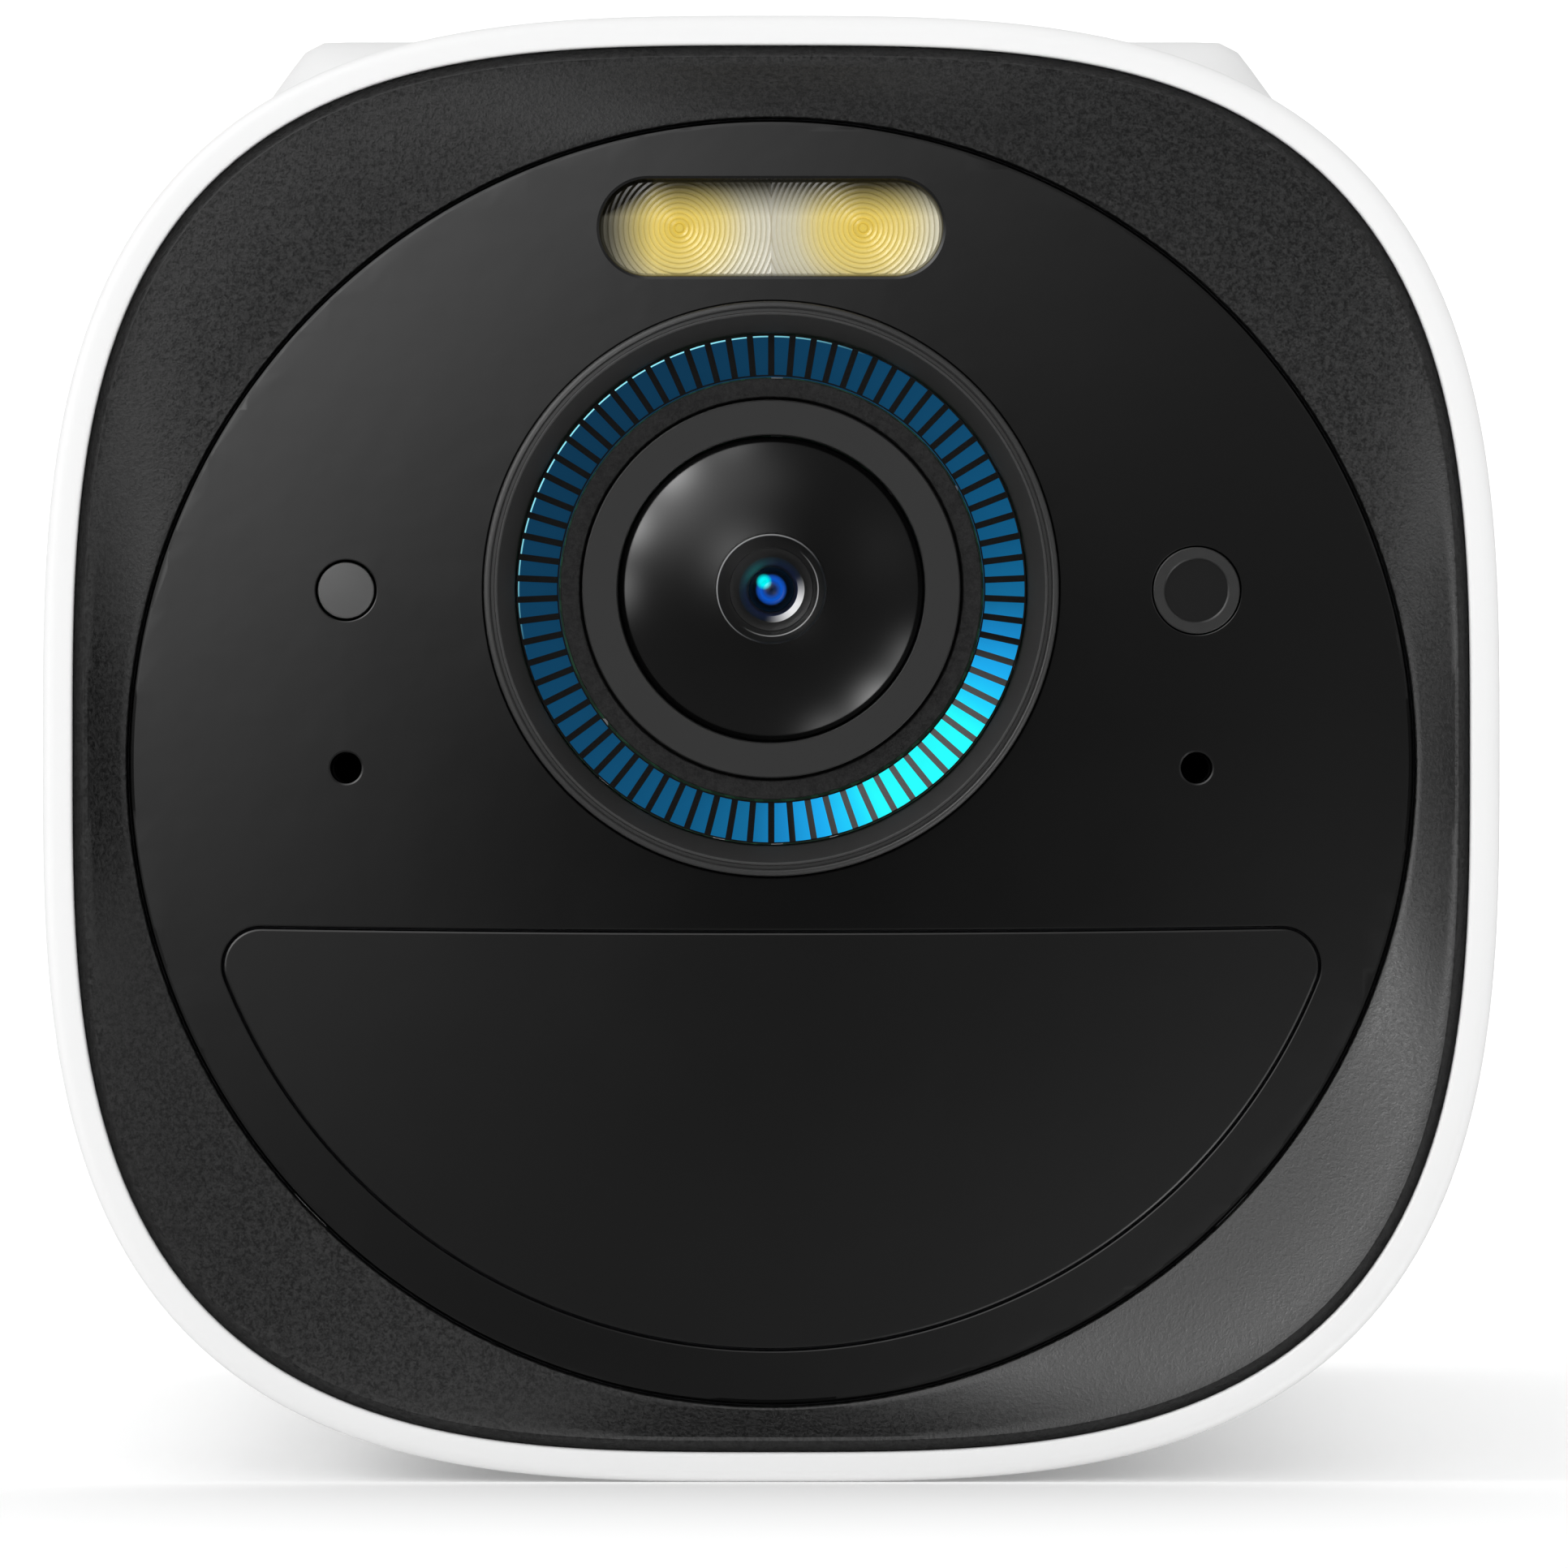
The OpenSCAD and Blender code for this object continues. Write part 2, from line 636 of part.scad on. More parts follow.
module spotlight_leds() {
    color("#f2c840") for (side = sides)
        block(side * lamp_pitch / 2 - 1, side * lamp_pitch / 2 + 1, side_board_d - 0.9,
            side_board_d - 0.2, spot_z - 1, spot_z + 1);
}

module spotlight_board() {
    color("#e6e8ea") block(-spot_w / 2 - 1.2, spot_w / 2 + 1.2, side_board_d - 0.2, side_board_d + 0.8,
        spot_z - spot_h / 2 - 1, spot_z + spot_h / 2 + 1);
}

// ---- Rings around the lens ----

module lens_bezel() {
    color(gloss_black) turned([[bore_r, 2.2], [bore_r + 0.68, 0.9], [bore_r + 0.81, 0.9],
        [bore_r + 0.93, 1.08], [bore_r + 1.06, 1.08], [bore_r + 1.14, 0.95],
        [lens_bezel_r - 0.06, 1], [lens_bezel_r, 1.15], [lens_bezel_r, cup_floor_d0],
        [bore_r, cup_floor_d0]], 0, lens_z);
}

module light_ring() {
    color("#12506e") tube(2.25, ring_board_d - led_t - 0.1, light_r1, light_r0, 0, lens_z);
}

module light_ring_mask() {
    rim_w = 0.1;
    color("#0c0c0c") slab(2.1, 2.25) translate([0, lens_z]) {
        difference() {
            circle(light_r1);
            circle(light_r1 - rim_w);
        }
        difference() {
            circle(light_r0 + rim_w);
            circle(light_r0);
        }
        for (i = [0 : segments - 1]) rotate(i * 360 / segments)
            translate([light_r0 + rim_w / 2, -spoke_w / 2]) square([light_w - rim_w, spoke_w]);
    }
}

module ring_chips(count, r, size) {
    for (i = [0 : count - 1]) translate([0, 0, mid_z + lens_z]) rotate([0, i * 360 / count, 0])
        translate([r - size / 2, ring_board_d - led_t - body_len / 2, -size / 2])
        cube([size, led_t, size]);
}

module light_ring_leds() {
    color("#9fd8ff") ring_chips(12, (light_r0 + light_r1) / 2, 1.2);
}

module ir_leds() {
    color("#3b2a3f") ring_chips(8, (ir_r0 + ir_r1) / 2, 1.1);
}

module ring_board() {
    color(board_green) tube(ring_board_d, cup_floor_d0, bore_r - fit_gap, dome_r + 0.15, 0, lens_z);
}

module texture_ring() {
    shelf = ir_front() + 1.5;
    color("#262626") turned([[texture_r0, 1.9], [texture_r1, 1.9], [texture_r1, ring_board_d],
        [texture_r0, ring_board_d], [texture_r0, shelf + 0.4], [ir_r1 - 0.25, shelf + 0.4],
        [ir_r1 - 0.25, shelf], [texture_r0, shelf]], 0, lens_z);
}

function ir_front() = 1.7;

module ir_window() {
    color("#333333") tube(ir_front(), ir_front() + 1.5, ir_r1, ir_r0, 0, lens_z);
}

// ---- Lens and camera module ----

// Points of a domed face from its middle out, by its peak, rim radius and sag
function dome_arc(peak, rim_r, sag, count) =
    let (sphere = (rim_r * rim_r + sag * sag) / (2 * sag))
    [for (i = [0 : count]) let (r = rim_r * i / count) [r, peak + sphere - sqrt(sphere * sphere - r * r)]];

function reversed(points) = [for (i = [len(points) - 1 : -1 : 0]) points[i]];

module lens_dome() {
    seat_r = dome_r - 0.5;
    inner = dome_arc(dome_peak + dome_t, seat_r, barrel_d0 - dome_peak - dome_t, 10);
    color("#101114") turned(concat(dome_arc(dome_peak, dome_r, dome_sag, 14),
        [[dome_r, barrel_d0]], reversed(inner)), 0, lens_z);
}

module lens_barrel() {
    color("#2b2b2b") turned([[barrel_bore, barrel_d0], [dome_r, barrel_d0], [dome_r, holder_d0 - 0.6],
        [barrel_thread_r, holder_d0 - 0.6], [barrel_thread_r, barrel_d1], [barrel_bore - 1, barrel_d1],
        [barrel_bore - 1, barrel_d1 - 3], [barrel_bore, barrel_d1 - 3]], 0, lens_z);
}

module lens_stop() {
    outer = barrel_bore - fit_gap;
    color("#0d0d0d") turned([[2.5, 2.15], [outer, barrel_d0 + 0.3], [outer, barrel_d0 + 2.4],
        [0.97, barrel_d0 + 2.4], [0.97, barrel_d0 + 0.9], [1.35, 3.2], [2.31, 2.5], [2.31, 2.15]], 0, lens_z);
}

module lens_elements() {
    front = barrel_d0 + 0.9;
    color("#1c4fa0") union() {
        turned(concat(dome_arc(front, 0.92, 0.35, 6), [[0.92, barrel_d0 + 2.4], [0, barrel_d0 + 2.4]]), 0, lens_z);
        turned(concat(dome_arc(barrel_d1 - 2.9, barrel_bore - 1.05, 0.7, 8),
            [[barrel_bore - 1.05, barrel_d1 - 0.4], [0, barrel_d1 - 0.4]]), 0, lens_z);
    }
}

module lens_holder() {
    color("#1f1f1f") difference() {
        union() {
            rod(holder_d0, holder_d1 + 0.5, holder_r, 0, lens_z);
            block(-case_out_w / 2, case_out_w / 2, holder_d1, module_d1,
                lens_z + case_bottom, lens_z + case_top);
        }
        rod(holder_d0 - 1, module_d1, barrel_thread_r + fit_gap, 0, lens_z);
        block(-case_in_w / 2, case_in_w / 2, holder_d1 + 1.6, module_d1 + 1,
            lens_z + case_bottom + case_wall, lens_z + case_top - case_wall);
    }
}

// Fixed plate with the light opening, the filter's rails and the lever's pivot
module ir_cut_housing() {
    half = case_in_w / 2 - part_gap;
    rail_d = carrier_slide_d + 1.1;
    color("#3c3f44") difference() {
        union() {
            block(-half, half, plate_d, plate_d + 1, lens_z + case_bottom + case_wall + part_gap,
                lens_z + case_top - case_wall - part_gap);
            block(-half, half, plate_d + 0.5, rail_d,
                lens_z + carrier_h / 2 + 0.1, lens_z + carrier_h / 2 + 1.1);
            for (side = sides)
                block(side > 0 ? 4.4 : -half, side > 0 ? half : -4.4, plate_d + 0.5, rail_d,
                    lens_z - carrier_h / 2 - 1.1, lens_z - carrier_h / 2 - 0.1);
            rod(plate_d + 0.5, lever_d + lever_t + 0.4, pivot_r, 0, lens_z + pivot_z);
        }
        rod(plate_d - 1, plate_d + 2, 2.1, 0, lens_z);
    }
}

// At rest the carrier stands at one end of its travel, with the day filter on the lens axis
module ir_filter_carrier() {
    x = -filter_travel / 2;
    d1 = carrier_slide_d + 1;
    slot_half = pin_r + slot_gap;
    pin_low = pivot_z + lever_arm * cos(lever_angle) - pin_r - slot_gap;
    color("#55585e") difference() {
        union() {
            block(x - carrier_w / 2, x + carrier_w / 2, carrier_slide_d, d1,
                lens_z - carrier_h / 2, lens_z + carrier_h / 2);
            block(x - 1.4, x + 1.4, carrier_slide_d, d1, lens_z + pin_low - 0.6, lens_z - carrier_h / 2 + 0.5);
        }
        for (side = sides)
            block(x + side * filter_travel / 2 - filter_w / 2, x + side * filter_travel / 2 + filter_w / 2,
                carrier_slide_d - 1, d1 + 1, lens_z - filter_h / 2, lens_z + filter_h / 2);
        block(x - slot_half, x + slot_half, carrier_slide_d - 1, d1 + 1,
            lens_z + pin_low, lens_z - 4.76 + pin_r + slot_gap);
    }
}

module ir_filter_glass() {
    for (side = sides) color(side > 0 ? "#7fb0a8" : "#d8e4ea")
        block(-filter_travel / 2 + side * filter_travel / 2 - filter_w / 2,
            -filter_travel / 2 + side * filter_travel / 2 + filter_w / 2,
            carrier_slide_d + 0.2, carrier_slide_d + 0.7, lens_z - filter_h / 2, lens_z + filter_h / 2);
}

module ir_lever() {
    color("#8d4b3a") translate([0, 0, mid_z + lens_z + pivot_z]) rotate([0, -lever_angle, 0])
        translate([0, 0, -mid_z]) difference() {
            union() {
                rod(lever_d, lever_d + lever_t, hub_r);
                block(-0.7, 0.7, lever_d, lever_d + lever_t, 0, lever_arm);
                rod(lever_d, lever_d + lever_t, 0.7, 0, lever_arm);
                rod(carrier_slide_d + 0.1, lever_d + lever_t, pin_r, 0, lever_arm);
            }
            rod(lever_d - 1, lever_d + lever_t + 1, pivot_r + pivot_gap);
        }
}

module ir_coil() {
    color("#b5713a") translate([3, plate_d + 3.2 - body_len / 2, mid_z + lens_z + pivot_z])
        rotate([0, 90, 0]) cylinder(h = 4, r = 1.6);
}

module image_sensor() {
    color("#2a3b58") block(-4, 4, module_d1 - 0.9, module_d1, lens_z - 3.4, lens_z + 3.4);
}

module sensor_board() {
    color(board_green) difference() {
        block(-sensor_board_w / 2, sensor_board_w / 2, module_d1, module_d1 + board_t,
            lens_z + min(case_bottom - 0.2, post_z[1] - 2.4), lens_z + post_z[0] + 2.4);
        for (side = sides) for (z = post_z)
            rod(module_d1 - 1, module_d1 + board_t + 1, screw_r + part_gap, side * post_x, lens_z + z);
    }
}

// ---- Front sensors ----

module light_sensor_window() {
    front = crown(norm([sensor_x, sensor_z - panel_z]));
    color("#5e5e5e") rod(front, side_board_d - 1.4, sensor_window_r, -sensor_x, sensor_z);
}

module status_ring() {
    front = crown(norm([sensor_x, sensor_z - panel_z])) - 0.02;
    color("#3a3a3a") turned([[0, front + 0.12], [status_core_r, front + 0.12], [status_core_r, front],
        [status_ring_r, front], [status_ring_r, side_board_d - 1.4], [0, side_board_d - 1.4]],
        sensor_x, sensor_z);
}

module side_boards() {
    inner = post_x + post_r + 0.4;
    outer = sensor_x + 3.4;
    color(board_green) for (side = sides)
        block(side > 0 ? inner : -outer, side > 0 ? outer : -inner, side_board_d, side_board_d + board_t,
            mic_z - 4, sensor_z + 4.6);
}

module microphones() {
    color("#c9b36a") for (side = sides)
        block(side * sensor_x - 1.75, side * sensor_x + 1.75, side_board_d - 1, side_board_d,
            mic_z - 1.3, mic_z + 1.3);
}

module mic_gaskets() {
    color("#303030") for (side = sides)
        tube(carrier_d0, side_board_d - 1, mic_gasket_r, mic_hole_r, side * sensor_x, mic_z);
}

module pir_window() {
    color("#1c1c1c") intersection() {
        crowned_disc(carrier_d0);
        slab(0, carrier_d0 + 1) pir_outline(part_gap);
    }
}

module pir_shroud() {
    color("#2f2f2f") slab(carrier_d1, pir_board_d) translate([0, pir_z]) difference() {
        square([pir_in[0] + 2 * pir_wall, pir_in[1] + 2 * pir_wall], center = true);
        square(pir_in, center = true);
    }
}

module pir_sensor() {
    color("#c7c9cc") union() {
        rod(pir_board_d - 4.4, pir_board_d, 4.1, 0, pir_z);
        rod(pir_board_d - 0.6, pir_board_d, 4.7, 0, pir_z);
    }
}

module pir_board() {
    color(board_green) block(-pir_in[0] / 2 - 1.6, pir_in[0] / 2 + 1.6, pir_board_d, pir_board_d + board_t,
        pir_z - 7.3, pir_z + 7.3);
}

// ---- Battery and electronics ----

module at_cells() {
    for (side_x = sides) for (side_z = sides)
        translate([side_x * cell_pitch / 2, 0, battery_z + side_z * cell_pitch / 2]) children();
}

module battery_cells() {
    color("#2f7f8f") at_cells() union() {
        rod(cell_d0 + 1, cell_d1, cell_d / 2);
        rod(cell_d0, cell_d1 - 1, 2.8);
    }
}

module battery_cradle() {
    corner_r = cell_d / 2 + cell_gap + cradle_wall;
    color("#3a3d42") difference() {
        union() {
            slab(cradle_d0, cell_d1) translate([0, battery_z])
                rounded_box(2 * cradle_half, 2 * cradle_half, corner_r);
            for (side = sides) for (d = [board_d0 + 5, board_d1 - 5])
                translate([side * board_post_x, d - body_len / 2,
                    mid_z + battery_z + cell_pitch / 2 + corner_r - 2.4])
                    cylinder(h = board_z - battery_z - cell_pitch / 2 - corner_r + 2.4, r = board_post_r);
        }
        at_cells() rod(cell_d0 - tab_t, cell_d1 + 1, cell_d / 2 + cell_gap);
        for (side = sides) for (d = [board_d0 + 5, board_d1 - 5])
            translate([side * board_post_x, d - body_len / 2, mid_z + board_z - 3.6])
                cylinder(h = 5, r = screw_r);
        // Slot that joins the front of each side's two cells for the metal tab
        for (side = sides)
            block(side * cell_pitch / 2 - 4, side * cell_pitch / 2 + 4, cell_d0 - tab_t, cell_d0 + 1,
                battery_z - cell_pitch / 2, battery_z + cell_pitch / 2);
    }
}

module battery_tabs() {
    color("#cfd2d6") for (side = sides) {
        block(side * cell_pitch / 2 - 3.5, side * cell_pitch / 2 + 3.5, cell_d0 - tab_t, cell_d0,
            battery_z - cell_pitch / 2 - 3.5, battery_z + cell_pitch / 2 + 3.5);
        block(side * cell_pitch / 2 - 3.5, side * cell_pitch / 2 + 3.5, cell_d1, cell_d1 + tab_t,
            battery_z - cell_pitch / 2 - 3.5, battery_z + cell_pitch / 2 + 3.5);
    }
}

module main_board() {
    color(board_green) difference() {
        block(-board_w / 2, board_w / 2, board_d0, board_d1, board_z, board_z + board_t);
        for (side = sides) for (d = [board_d0 + 5, board_d1 - 5])
            translate([side * board_post_x, d - body_len / 2, mid_z + board_z - 1])
                cylinder(h = board_t + 2, r = screw_r + part_gap);
    }
}

module board_parts() {
    z = board_z + board_t;
    color("#9aa0a6") union() {
        block(-13, 1, board_d0 + 14, board_d0 + 32, z, z + 2.2);
        block(3, 13, board_d0 + 14, board_d0 + 26, z, z + 1.8);
        block(3, 13, board_d0 + 28, board_d0 + 38, z, z + 1);
        block(-6, 6, board_d1 - 4.5, board_d1 - 0.5, z, z + 2.8);
        block(-11, -4, board_d0 + 2, board_d0 + 6, z, z + 2);
    }
}

module board_screws() {
    color(steel) union() {
        for (side = sides) for (z = post_z)
            translate([side * post_x, 0, lens_z + z]) flipped_screw(module_d1 + board_t, 7);
        for (side = sides)
            translate([side * 11.5, 0, 3]) screw(port_board_d, 6);
        for (side = sides) for (d = [board_d0 + 5, board_d1 - 5])
            translate([side * board_post_x, d - body_len / 2, mid_z + board_z + board_t]) {
                cylinder(h = screw_head_t, r = screw_head_r);
                translate([0, 0, -4.6]) cylinder(h = 4.6, r = screw_r);
            }
    }
}

// Screw driven forwards from behind a board whose rear face is at one depth
module flipped_screw(face_d, shank_len) {
    rod(face_d, face_d + screw_head_t, screw_head_r);
    rod(face_d - shank_len, face_d, screw_r);
}

module speaker() {
    color("#4c4f55") translate([0, speaker_d - body_len / 2, speaker_z]) union() {
        cylinder(h = 1.4, r = speaker_r);
        cylinder(h = speaker_h, r = speaker_r - 2.2);
    }
}

// ---- Rear ----

module usb_socket() {
    d0 = port_board_d + board_t;
    color("#c4c8cc") union() {
        difference() {
            slab(d0, port_mouth) translate([0, port_z]) stadium(socket_w, socket_h);
            slab(d0 + 0.8, port_mouth + 1) translate([0, port_z]) stadium(socket_w - 0.6, socket_h - 0.6);
        }
        block(-3.3, 3.3, d0 + 0.5, port_mouth - 0.6, port_z - 0.35, port_z + 0.35);
    }
}

module port_board() {
    color(board_green) difference() {
        block(-14.2, 14.2, port_board_d, port_board_d + board_t, port_z - 4.6, button_z + 4.2);
        for (side = sides)
            rod(port_board_d - 1, port_board_d + board_t + 1, screw_r + part_gap, side * 11.5, 3);
    }
}

// Flap with a rounded lower edge about its hinge pins and a ridge that enters the port
module port_cover() {
    d1 = body_len - flap_sink;
    d0 = d1 - flap_t;
    color("#e9eaeb") union() {
        block(-flap_w / 2, flap_w / 2, d0, d1, hinge_z, flap_top);
        along_hinge(flap_w, flap_t / 2);
        along_hinge(flap_w + 2.2, hinge_pin_r);
        block(-port_w / 2 + 0.5, port_w / 2 - 0.5, d0 - 0.6, d0 + 0.3,
            port_z - port_h / 2 + 0.5, port_z + port_h / 2 - 0.7);
    }
}

module along_hinge(length, r) {
    translate([-length / 2, hinge_d - body_len / 2, mid_z + hinge_z]) rotate([0, 90, 0])
        cylinder(h = length, r = r);
}

module sync_button() {
    cap_d1 = body_len - button_sink;
    flange_d1 = rear_floor - 0.2;
    color("#dcdddf") union() {
        rod(flange_d1 - 0.4, cap_d1, button_r, 0, button_z);
        rod(flange_d1 - flange_t, flange_d1, button_r + flange_w, 0, button_z);
        rod(plunger_d1, flange_d1 - flange_t + 0.4, stem_r, 0, button_z);
    }
}

module switch_body() {
    d0 = port_board_d + board_t;
    color("#2c2c30") difference() {
        block(-3, 3, d0, d0 + switch_h, button_z - 3, button_z + 3);
        rod(plunger_d0 - button_travel - 0.4, d0 + switch_h + 1, plunger_r + part_gap, 0, button_z);
    }
}

module switch_plunger() {
    color("#b03030") rod(plunger_d0, plunger_d1, plunger_r, 0, button_z);
}

module mount_insert() {
    color("#c9a24a") difference() {
        union() {
            rod(body_len - insert_len, body_len - insert_flange_t + overlap, insert_r);
            rod(body_len - insert_flange_t, body_len, insert_flange_r);
        }
        rod(body_len - thread_len, body_len + 1, thread_r);
    }
}

housing();
rear_cover();
rear_gasket();
rear_screws();
front_bezel();
front_panel();
front_carrier();
front_gasket();
front_screws();
solar_glass();
solar_cells();
solar_seal();
solar_lead();
spotlight_lens();
spotlight_reflector();
spotlight_leds();
spotlight_board();
lens_bezel();
light_ring();
light_ring_mask();
light_ring_leds();
ring_board();
texture_ring();
ir_window();
ir_leds();
lens_dome();
lens_barrel();
lens_stop();
lens_elements();
lens_holder();
ir_cut_housing();
ir_filter_carrier();
ir_filter_glass();
ir_lever();
ir_coil();
image_sensor();
sensor_board();
light_sensor_window();
status_ring();
side_boards();
microphones();
mic_gaskets();
pir_window();
pir_shroud();
pir_sensor();
pir_board();
battery_cells();
battery_cradle();
battery_tabs();
main_board();
board_parts();
board_screws();
speaker();
usb_socket();
port_board();
port_cover();
sync_button();
switch_body();
switch_plunger();
mount_insert();
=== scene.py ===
# %% [markdown]
# # A small security camera with a two-lamp spotlight
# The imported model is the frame: it says where every piece is and how it moves. This file gives the
# pieces their finished shapes and surfaces. Sizes are worked out in millimetres, with the depth
# counted back from the front rim, and turned into metres when a piece is finished.

# %% Load the frame
import json
import math

import bmesh
import bpy
from mathutils import Matrix, Vector


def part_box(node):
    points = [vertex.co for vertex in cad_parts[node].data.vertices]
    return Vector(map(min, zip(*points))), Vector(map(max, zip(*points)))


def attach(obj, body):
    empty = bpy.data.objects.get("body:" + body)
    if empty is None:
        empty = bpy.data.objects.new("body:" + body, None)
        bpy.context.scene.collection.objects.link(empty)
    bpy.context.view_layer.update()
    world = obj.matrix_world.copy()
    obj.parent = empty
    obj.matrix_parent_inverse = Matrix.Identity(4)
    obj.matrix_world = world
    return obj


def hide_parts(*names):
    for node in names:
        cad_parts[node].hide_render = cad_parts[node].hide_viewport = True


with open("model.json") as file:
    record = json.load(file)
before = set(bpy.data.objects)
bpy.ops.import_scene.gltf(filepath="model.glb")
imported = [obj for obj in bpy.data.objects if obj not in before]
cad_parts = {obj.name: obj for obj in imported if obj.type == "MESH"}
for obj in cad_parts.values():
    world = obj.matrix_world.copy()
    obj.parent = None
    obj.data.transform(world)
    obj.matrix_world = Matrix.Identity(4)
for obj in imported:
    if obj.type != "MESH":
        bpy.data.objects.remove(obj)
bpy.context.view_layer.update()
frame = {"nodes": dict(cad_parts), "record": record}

MM = 0.001
print("nodes in the frame:", len(frame["nodes"]))

# %% [markdown]
# ## Reading sizes from the frame
# A piece that stands in for a packed one has to have the same size and the same place. The boxes of
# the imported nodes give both, so the numbers below are read and not typed.

# %% Sizes of the shell
def span(node):
    low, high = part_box(node)
    return low / MM, high / MM


def middle(node):
    low, high = span(node)
    return (low + high) / 2


front_y = span("housing")[0].y


def depths(node):
    """Where a node starts and ends, counted back from the front rim."""
    low, high = span(node)
    return low.y - front_y, high.y - front_y


shell_len = depths("housing")[1]
body_len = depths("rear_cover")[1]
half_w = span("rear_cover")[1].x
mid_z = middle("rear_cover").z
half_h = mid_z
deck_z = span("housing")[1].z - mid_z
print(f"shell {2 * half_w:.1f} x {2 * half_h:.1f} x {body_len:.1f}, deck at {deck_z + mid_z:.1f}")

# %% Places on the front
panel_r = span("front_panel")[1].x
panel_z = middle("front_panel").z
lens_r = span("lens_bezel")[1].x
lens_z = middle("lens_bezel").z
spot_z = middle("spotlight_lens").z
spot_high = span("spotlight_lens")[1]
spot_flange, lamp_half = 1.2, 1.0
spot_w, spot_h = 2 * spot_high.x - spot_flange, 2 * (spot_high.z - spot_z) - spot_flange
lamp_x = span("spotlight_leds")[1].x - lamp_half
sensor = middle("light_sensor_window")
status = middle("status_ring")
mic_z = middle("mic_gaskets").z
window_low, window_high = span("pir_window")
panel_d, carrier_d = depths("front_panel")
panel_crown = 1.0


def crown(r):
    return panel_d + panel_crown * (r / panel_r) ** 2


print(f"panel radius {panel_r:.2f}, lens at {lens_z:.2f}, lamps at {spot_z:.2f}")

# %% [markdown]
# ## Small tools for shapes
# Most pieces are one loop carried from depth to depth, or a profile turned about the lens axis. The
# loop comes from a circle, its edges are extruded, and each new ring is set on its own outline.

# %% Carrying a loop from ring to ring
def loft(bm, rings, caps=True):
    made = bmesh.ops.create_circle(bm, segments=len(rings[0]), radius=1)["verts"]
    ring = list(made)
    for vert, point in zip(ring, rings[0]):
        vert.co = point
    first = ring
    for points in rings[1:]:
        edges = [bm.edges.get(pair) for pair in zip(ring, ring[1:] + ring[:1])]
        grown = bmesh.ops.extrude_edge_only(bm, edges=edges)["geom"]
        fresh = {g for g in grown if isinstance(g, bmesh.types.BMVert)}
        ring = [next(e.other_vert(v) for e in v.link_edges if e.other_vert(v) in fresh)
                for v in ring]
        for vert, point in zip(ring, points):
            vert.co = point
    if caps:
        for loop in (first, ring):
            bmesh.ops.contextual_create(
                bm, geom=[bm.edges.get(pair) for pair in zip(loop, loop[1:] + loop[:1])])
    return bm


# %% Turning a profile about a line along the depth
def turned(bm, profile, x=0.0, z=0.0, steps=160, closed=True):
    verts = [bm.verts.new((x + r, d, z)) for r, d in profile]
    edges = [bm.edges.new(pair) for pair in zip(verts, verts[1:])]
    if closed:
        edges.append(bm.edges.new((verts[-1], verts[0])))
    bmesh.ops.spin(bm, geom=verts + edges, cent=(x, 0, z), axis=(0, 1, 0),
                   angle=2 * math.pi, steps=steps, use_merge=True, use_duplicate=False)
    return bm


# %% Loops made of arcs
def arcs(parts, gap=0.0):
    """Points along arcs (x, z, radius, from, to, count); a loop moved in by a gap has smaller arcs."""
    points = []
    for x, z, radius, start, end, count in parts:
        inward = -gap if end > start else gap
        for i in range(count):
            a = math.radians(start + (end - start) * i / (count - 1))
            points.append((x + (radius + inward) * math.cos(a), z + (radius + inward) * math.sin(a)))
    return points


def at_depth(points, d, x=0.0, z=0.0):
    return [Vector((x + px, d, z + pz)) for px, pz in points]


def circle_loop(radius, count=160):
    return lambda gap: arcs([(0, 0, radius, 0, 360 - 360 / count, count)], gap)


def stadium_loop(w, h, count=48):
    side, r = (w - h) / 2, h / 2
    return lambda gap: arcs([(side, 0, r, -90, 90, count), (-side, 0, r, 90, 270, count)], gap)


def box_loop(w, h, r, count=10):
    x, z = w / 2 - r, h / 2 - r
    return lambda gap: arcs([(x, z, r, 0, 90, count), (-x, z, r, 90, 180, count),
                             (-x, -z, r, 180, 270, count), (x, -z, r, 270, 360, count)], gap)


def plug(bm, loop, steps, x=0.0, z=0.0):
    """A closed shape whose loop is moved in by a gap at each depth: steps are (gap, depth)."""
    return loft(bm, [at_depth(loop(gap), d, x, z) for gap, d in steps])


# %% Boxes, rods and soft edges
def block(bm, low, high, round_r=0.0):
    size = Vector(high) - Vector(low)
    centre = (Vector(low) + Vector(high)) / 2
    made = bmesh.ops.create_cube(bm, size=1)["verts"]
    bmesh.ops.scale(bm, vec=size, verts=made)
    bmesh.ops.translate(bm, vec=centre, verts=made)
    if round_r:
        edges = list({e for v in made for e in v.link_edges})
        bmesh.ops.bevel(bm, geom=edges, offset=round_r, segments=2, profile=0.5,
                        affect="EDGES", material=-1, clamp_overlap=True)
    return bm


def rod(bm, start, end, radius, steps=32):
    line = Vector(end) - Vector(start)
    made = bmesh.ops.create_cone(bm, cap_ends=True, segments=steps, radius1=radius, radius2=radius,
                                 depth=line.length)["verts"]
    turn = Vector((0, 0, 1)).rotation_difference(line).to_matrix().to_4x4()
    bmesh.ops.transform(bm, matrix=turn, verts=made)
    bmesh.ops.translate(bm, vec=(Vector(start) + Vector(end)) / 2, verts=made)
    return bm


# %% [markdown]
# A hole through a finished shape is cut with the Boolean modifier. It is applied at once, so the
# piece that stays is plain mesh and the cutter is gone.

# %% Cutting holes
def as_object(bm, name):
    bmesh.ops.remove_doubles(bm, verts=bm.verts, dist=0.0005)
    bmesh.ops.recalc_face_normals(bm, faces=bm.faces)
    mesh = bpy.data.meshes.new(name)
    bm.to_mesh(mesh)
    bm.free()
    obj = bpy.data.objects.new(name, mesh)
    bpy.context.scene.collection.objects.link(obj)
    return obj


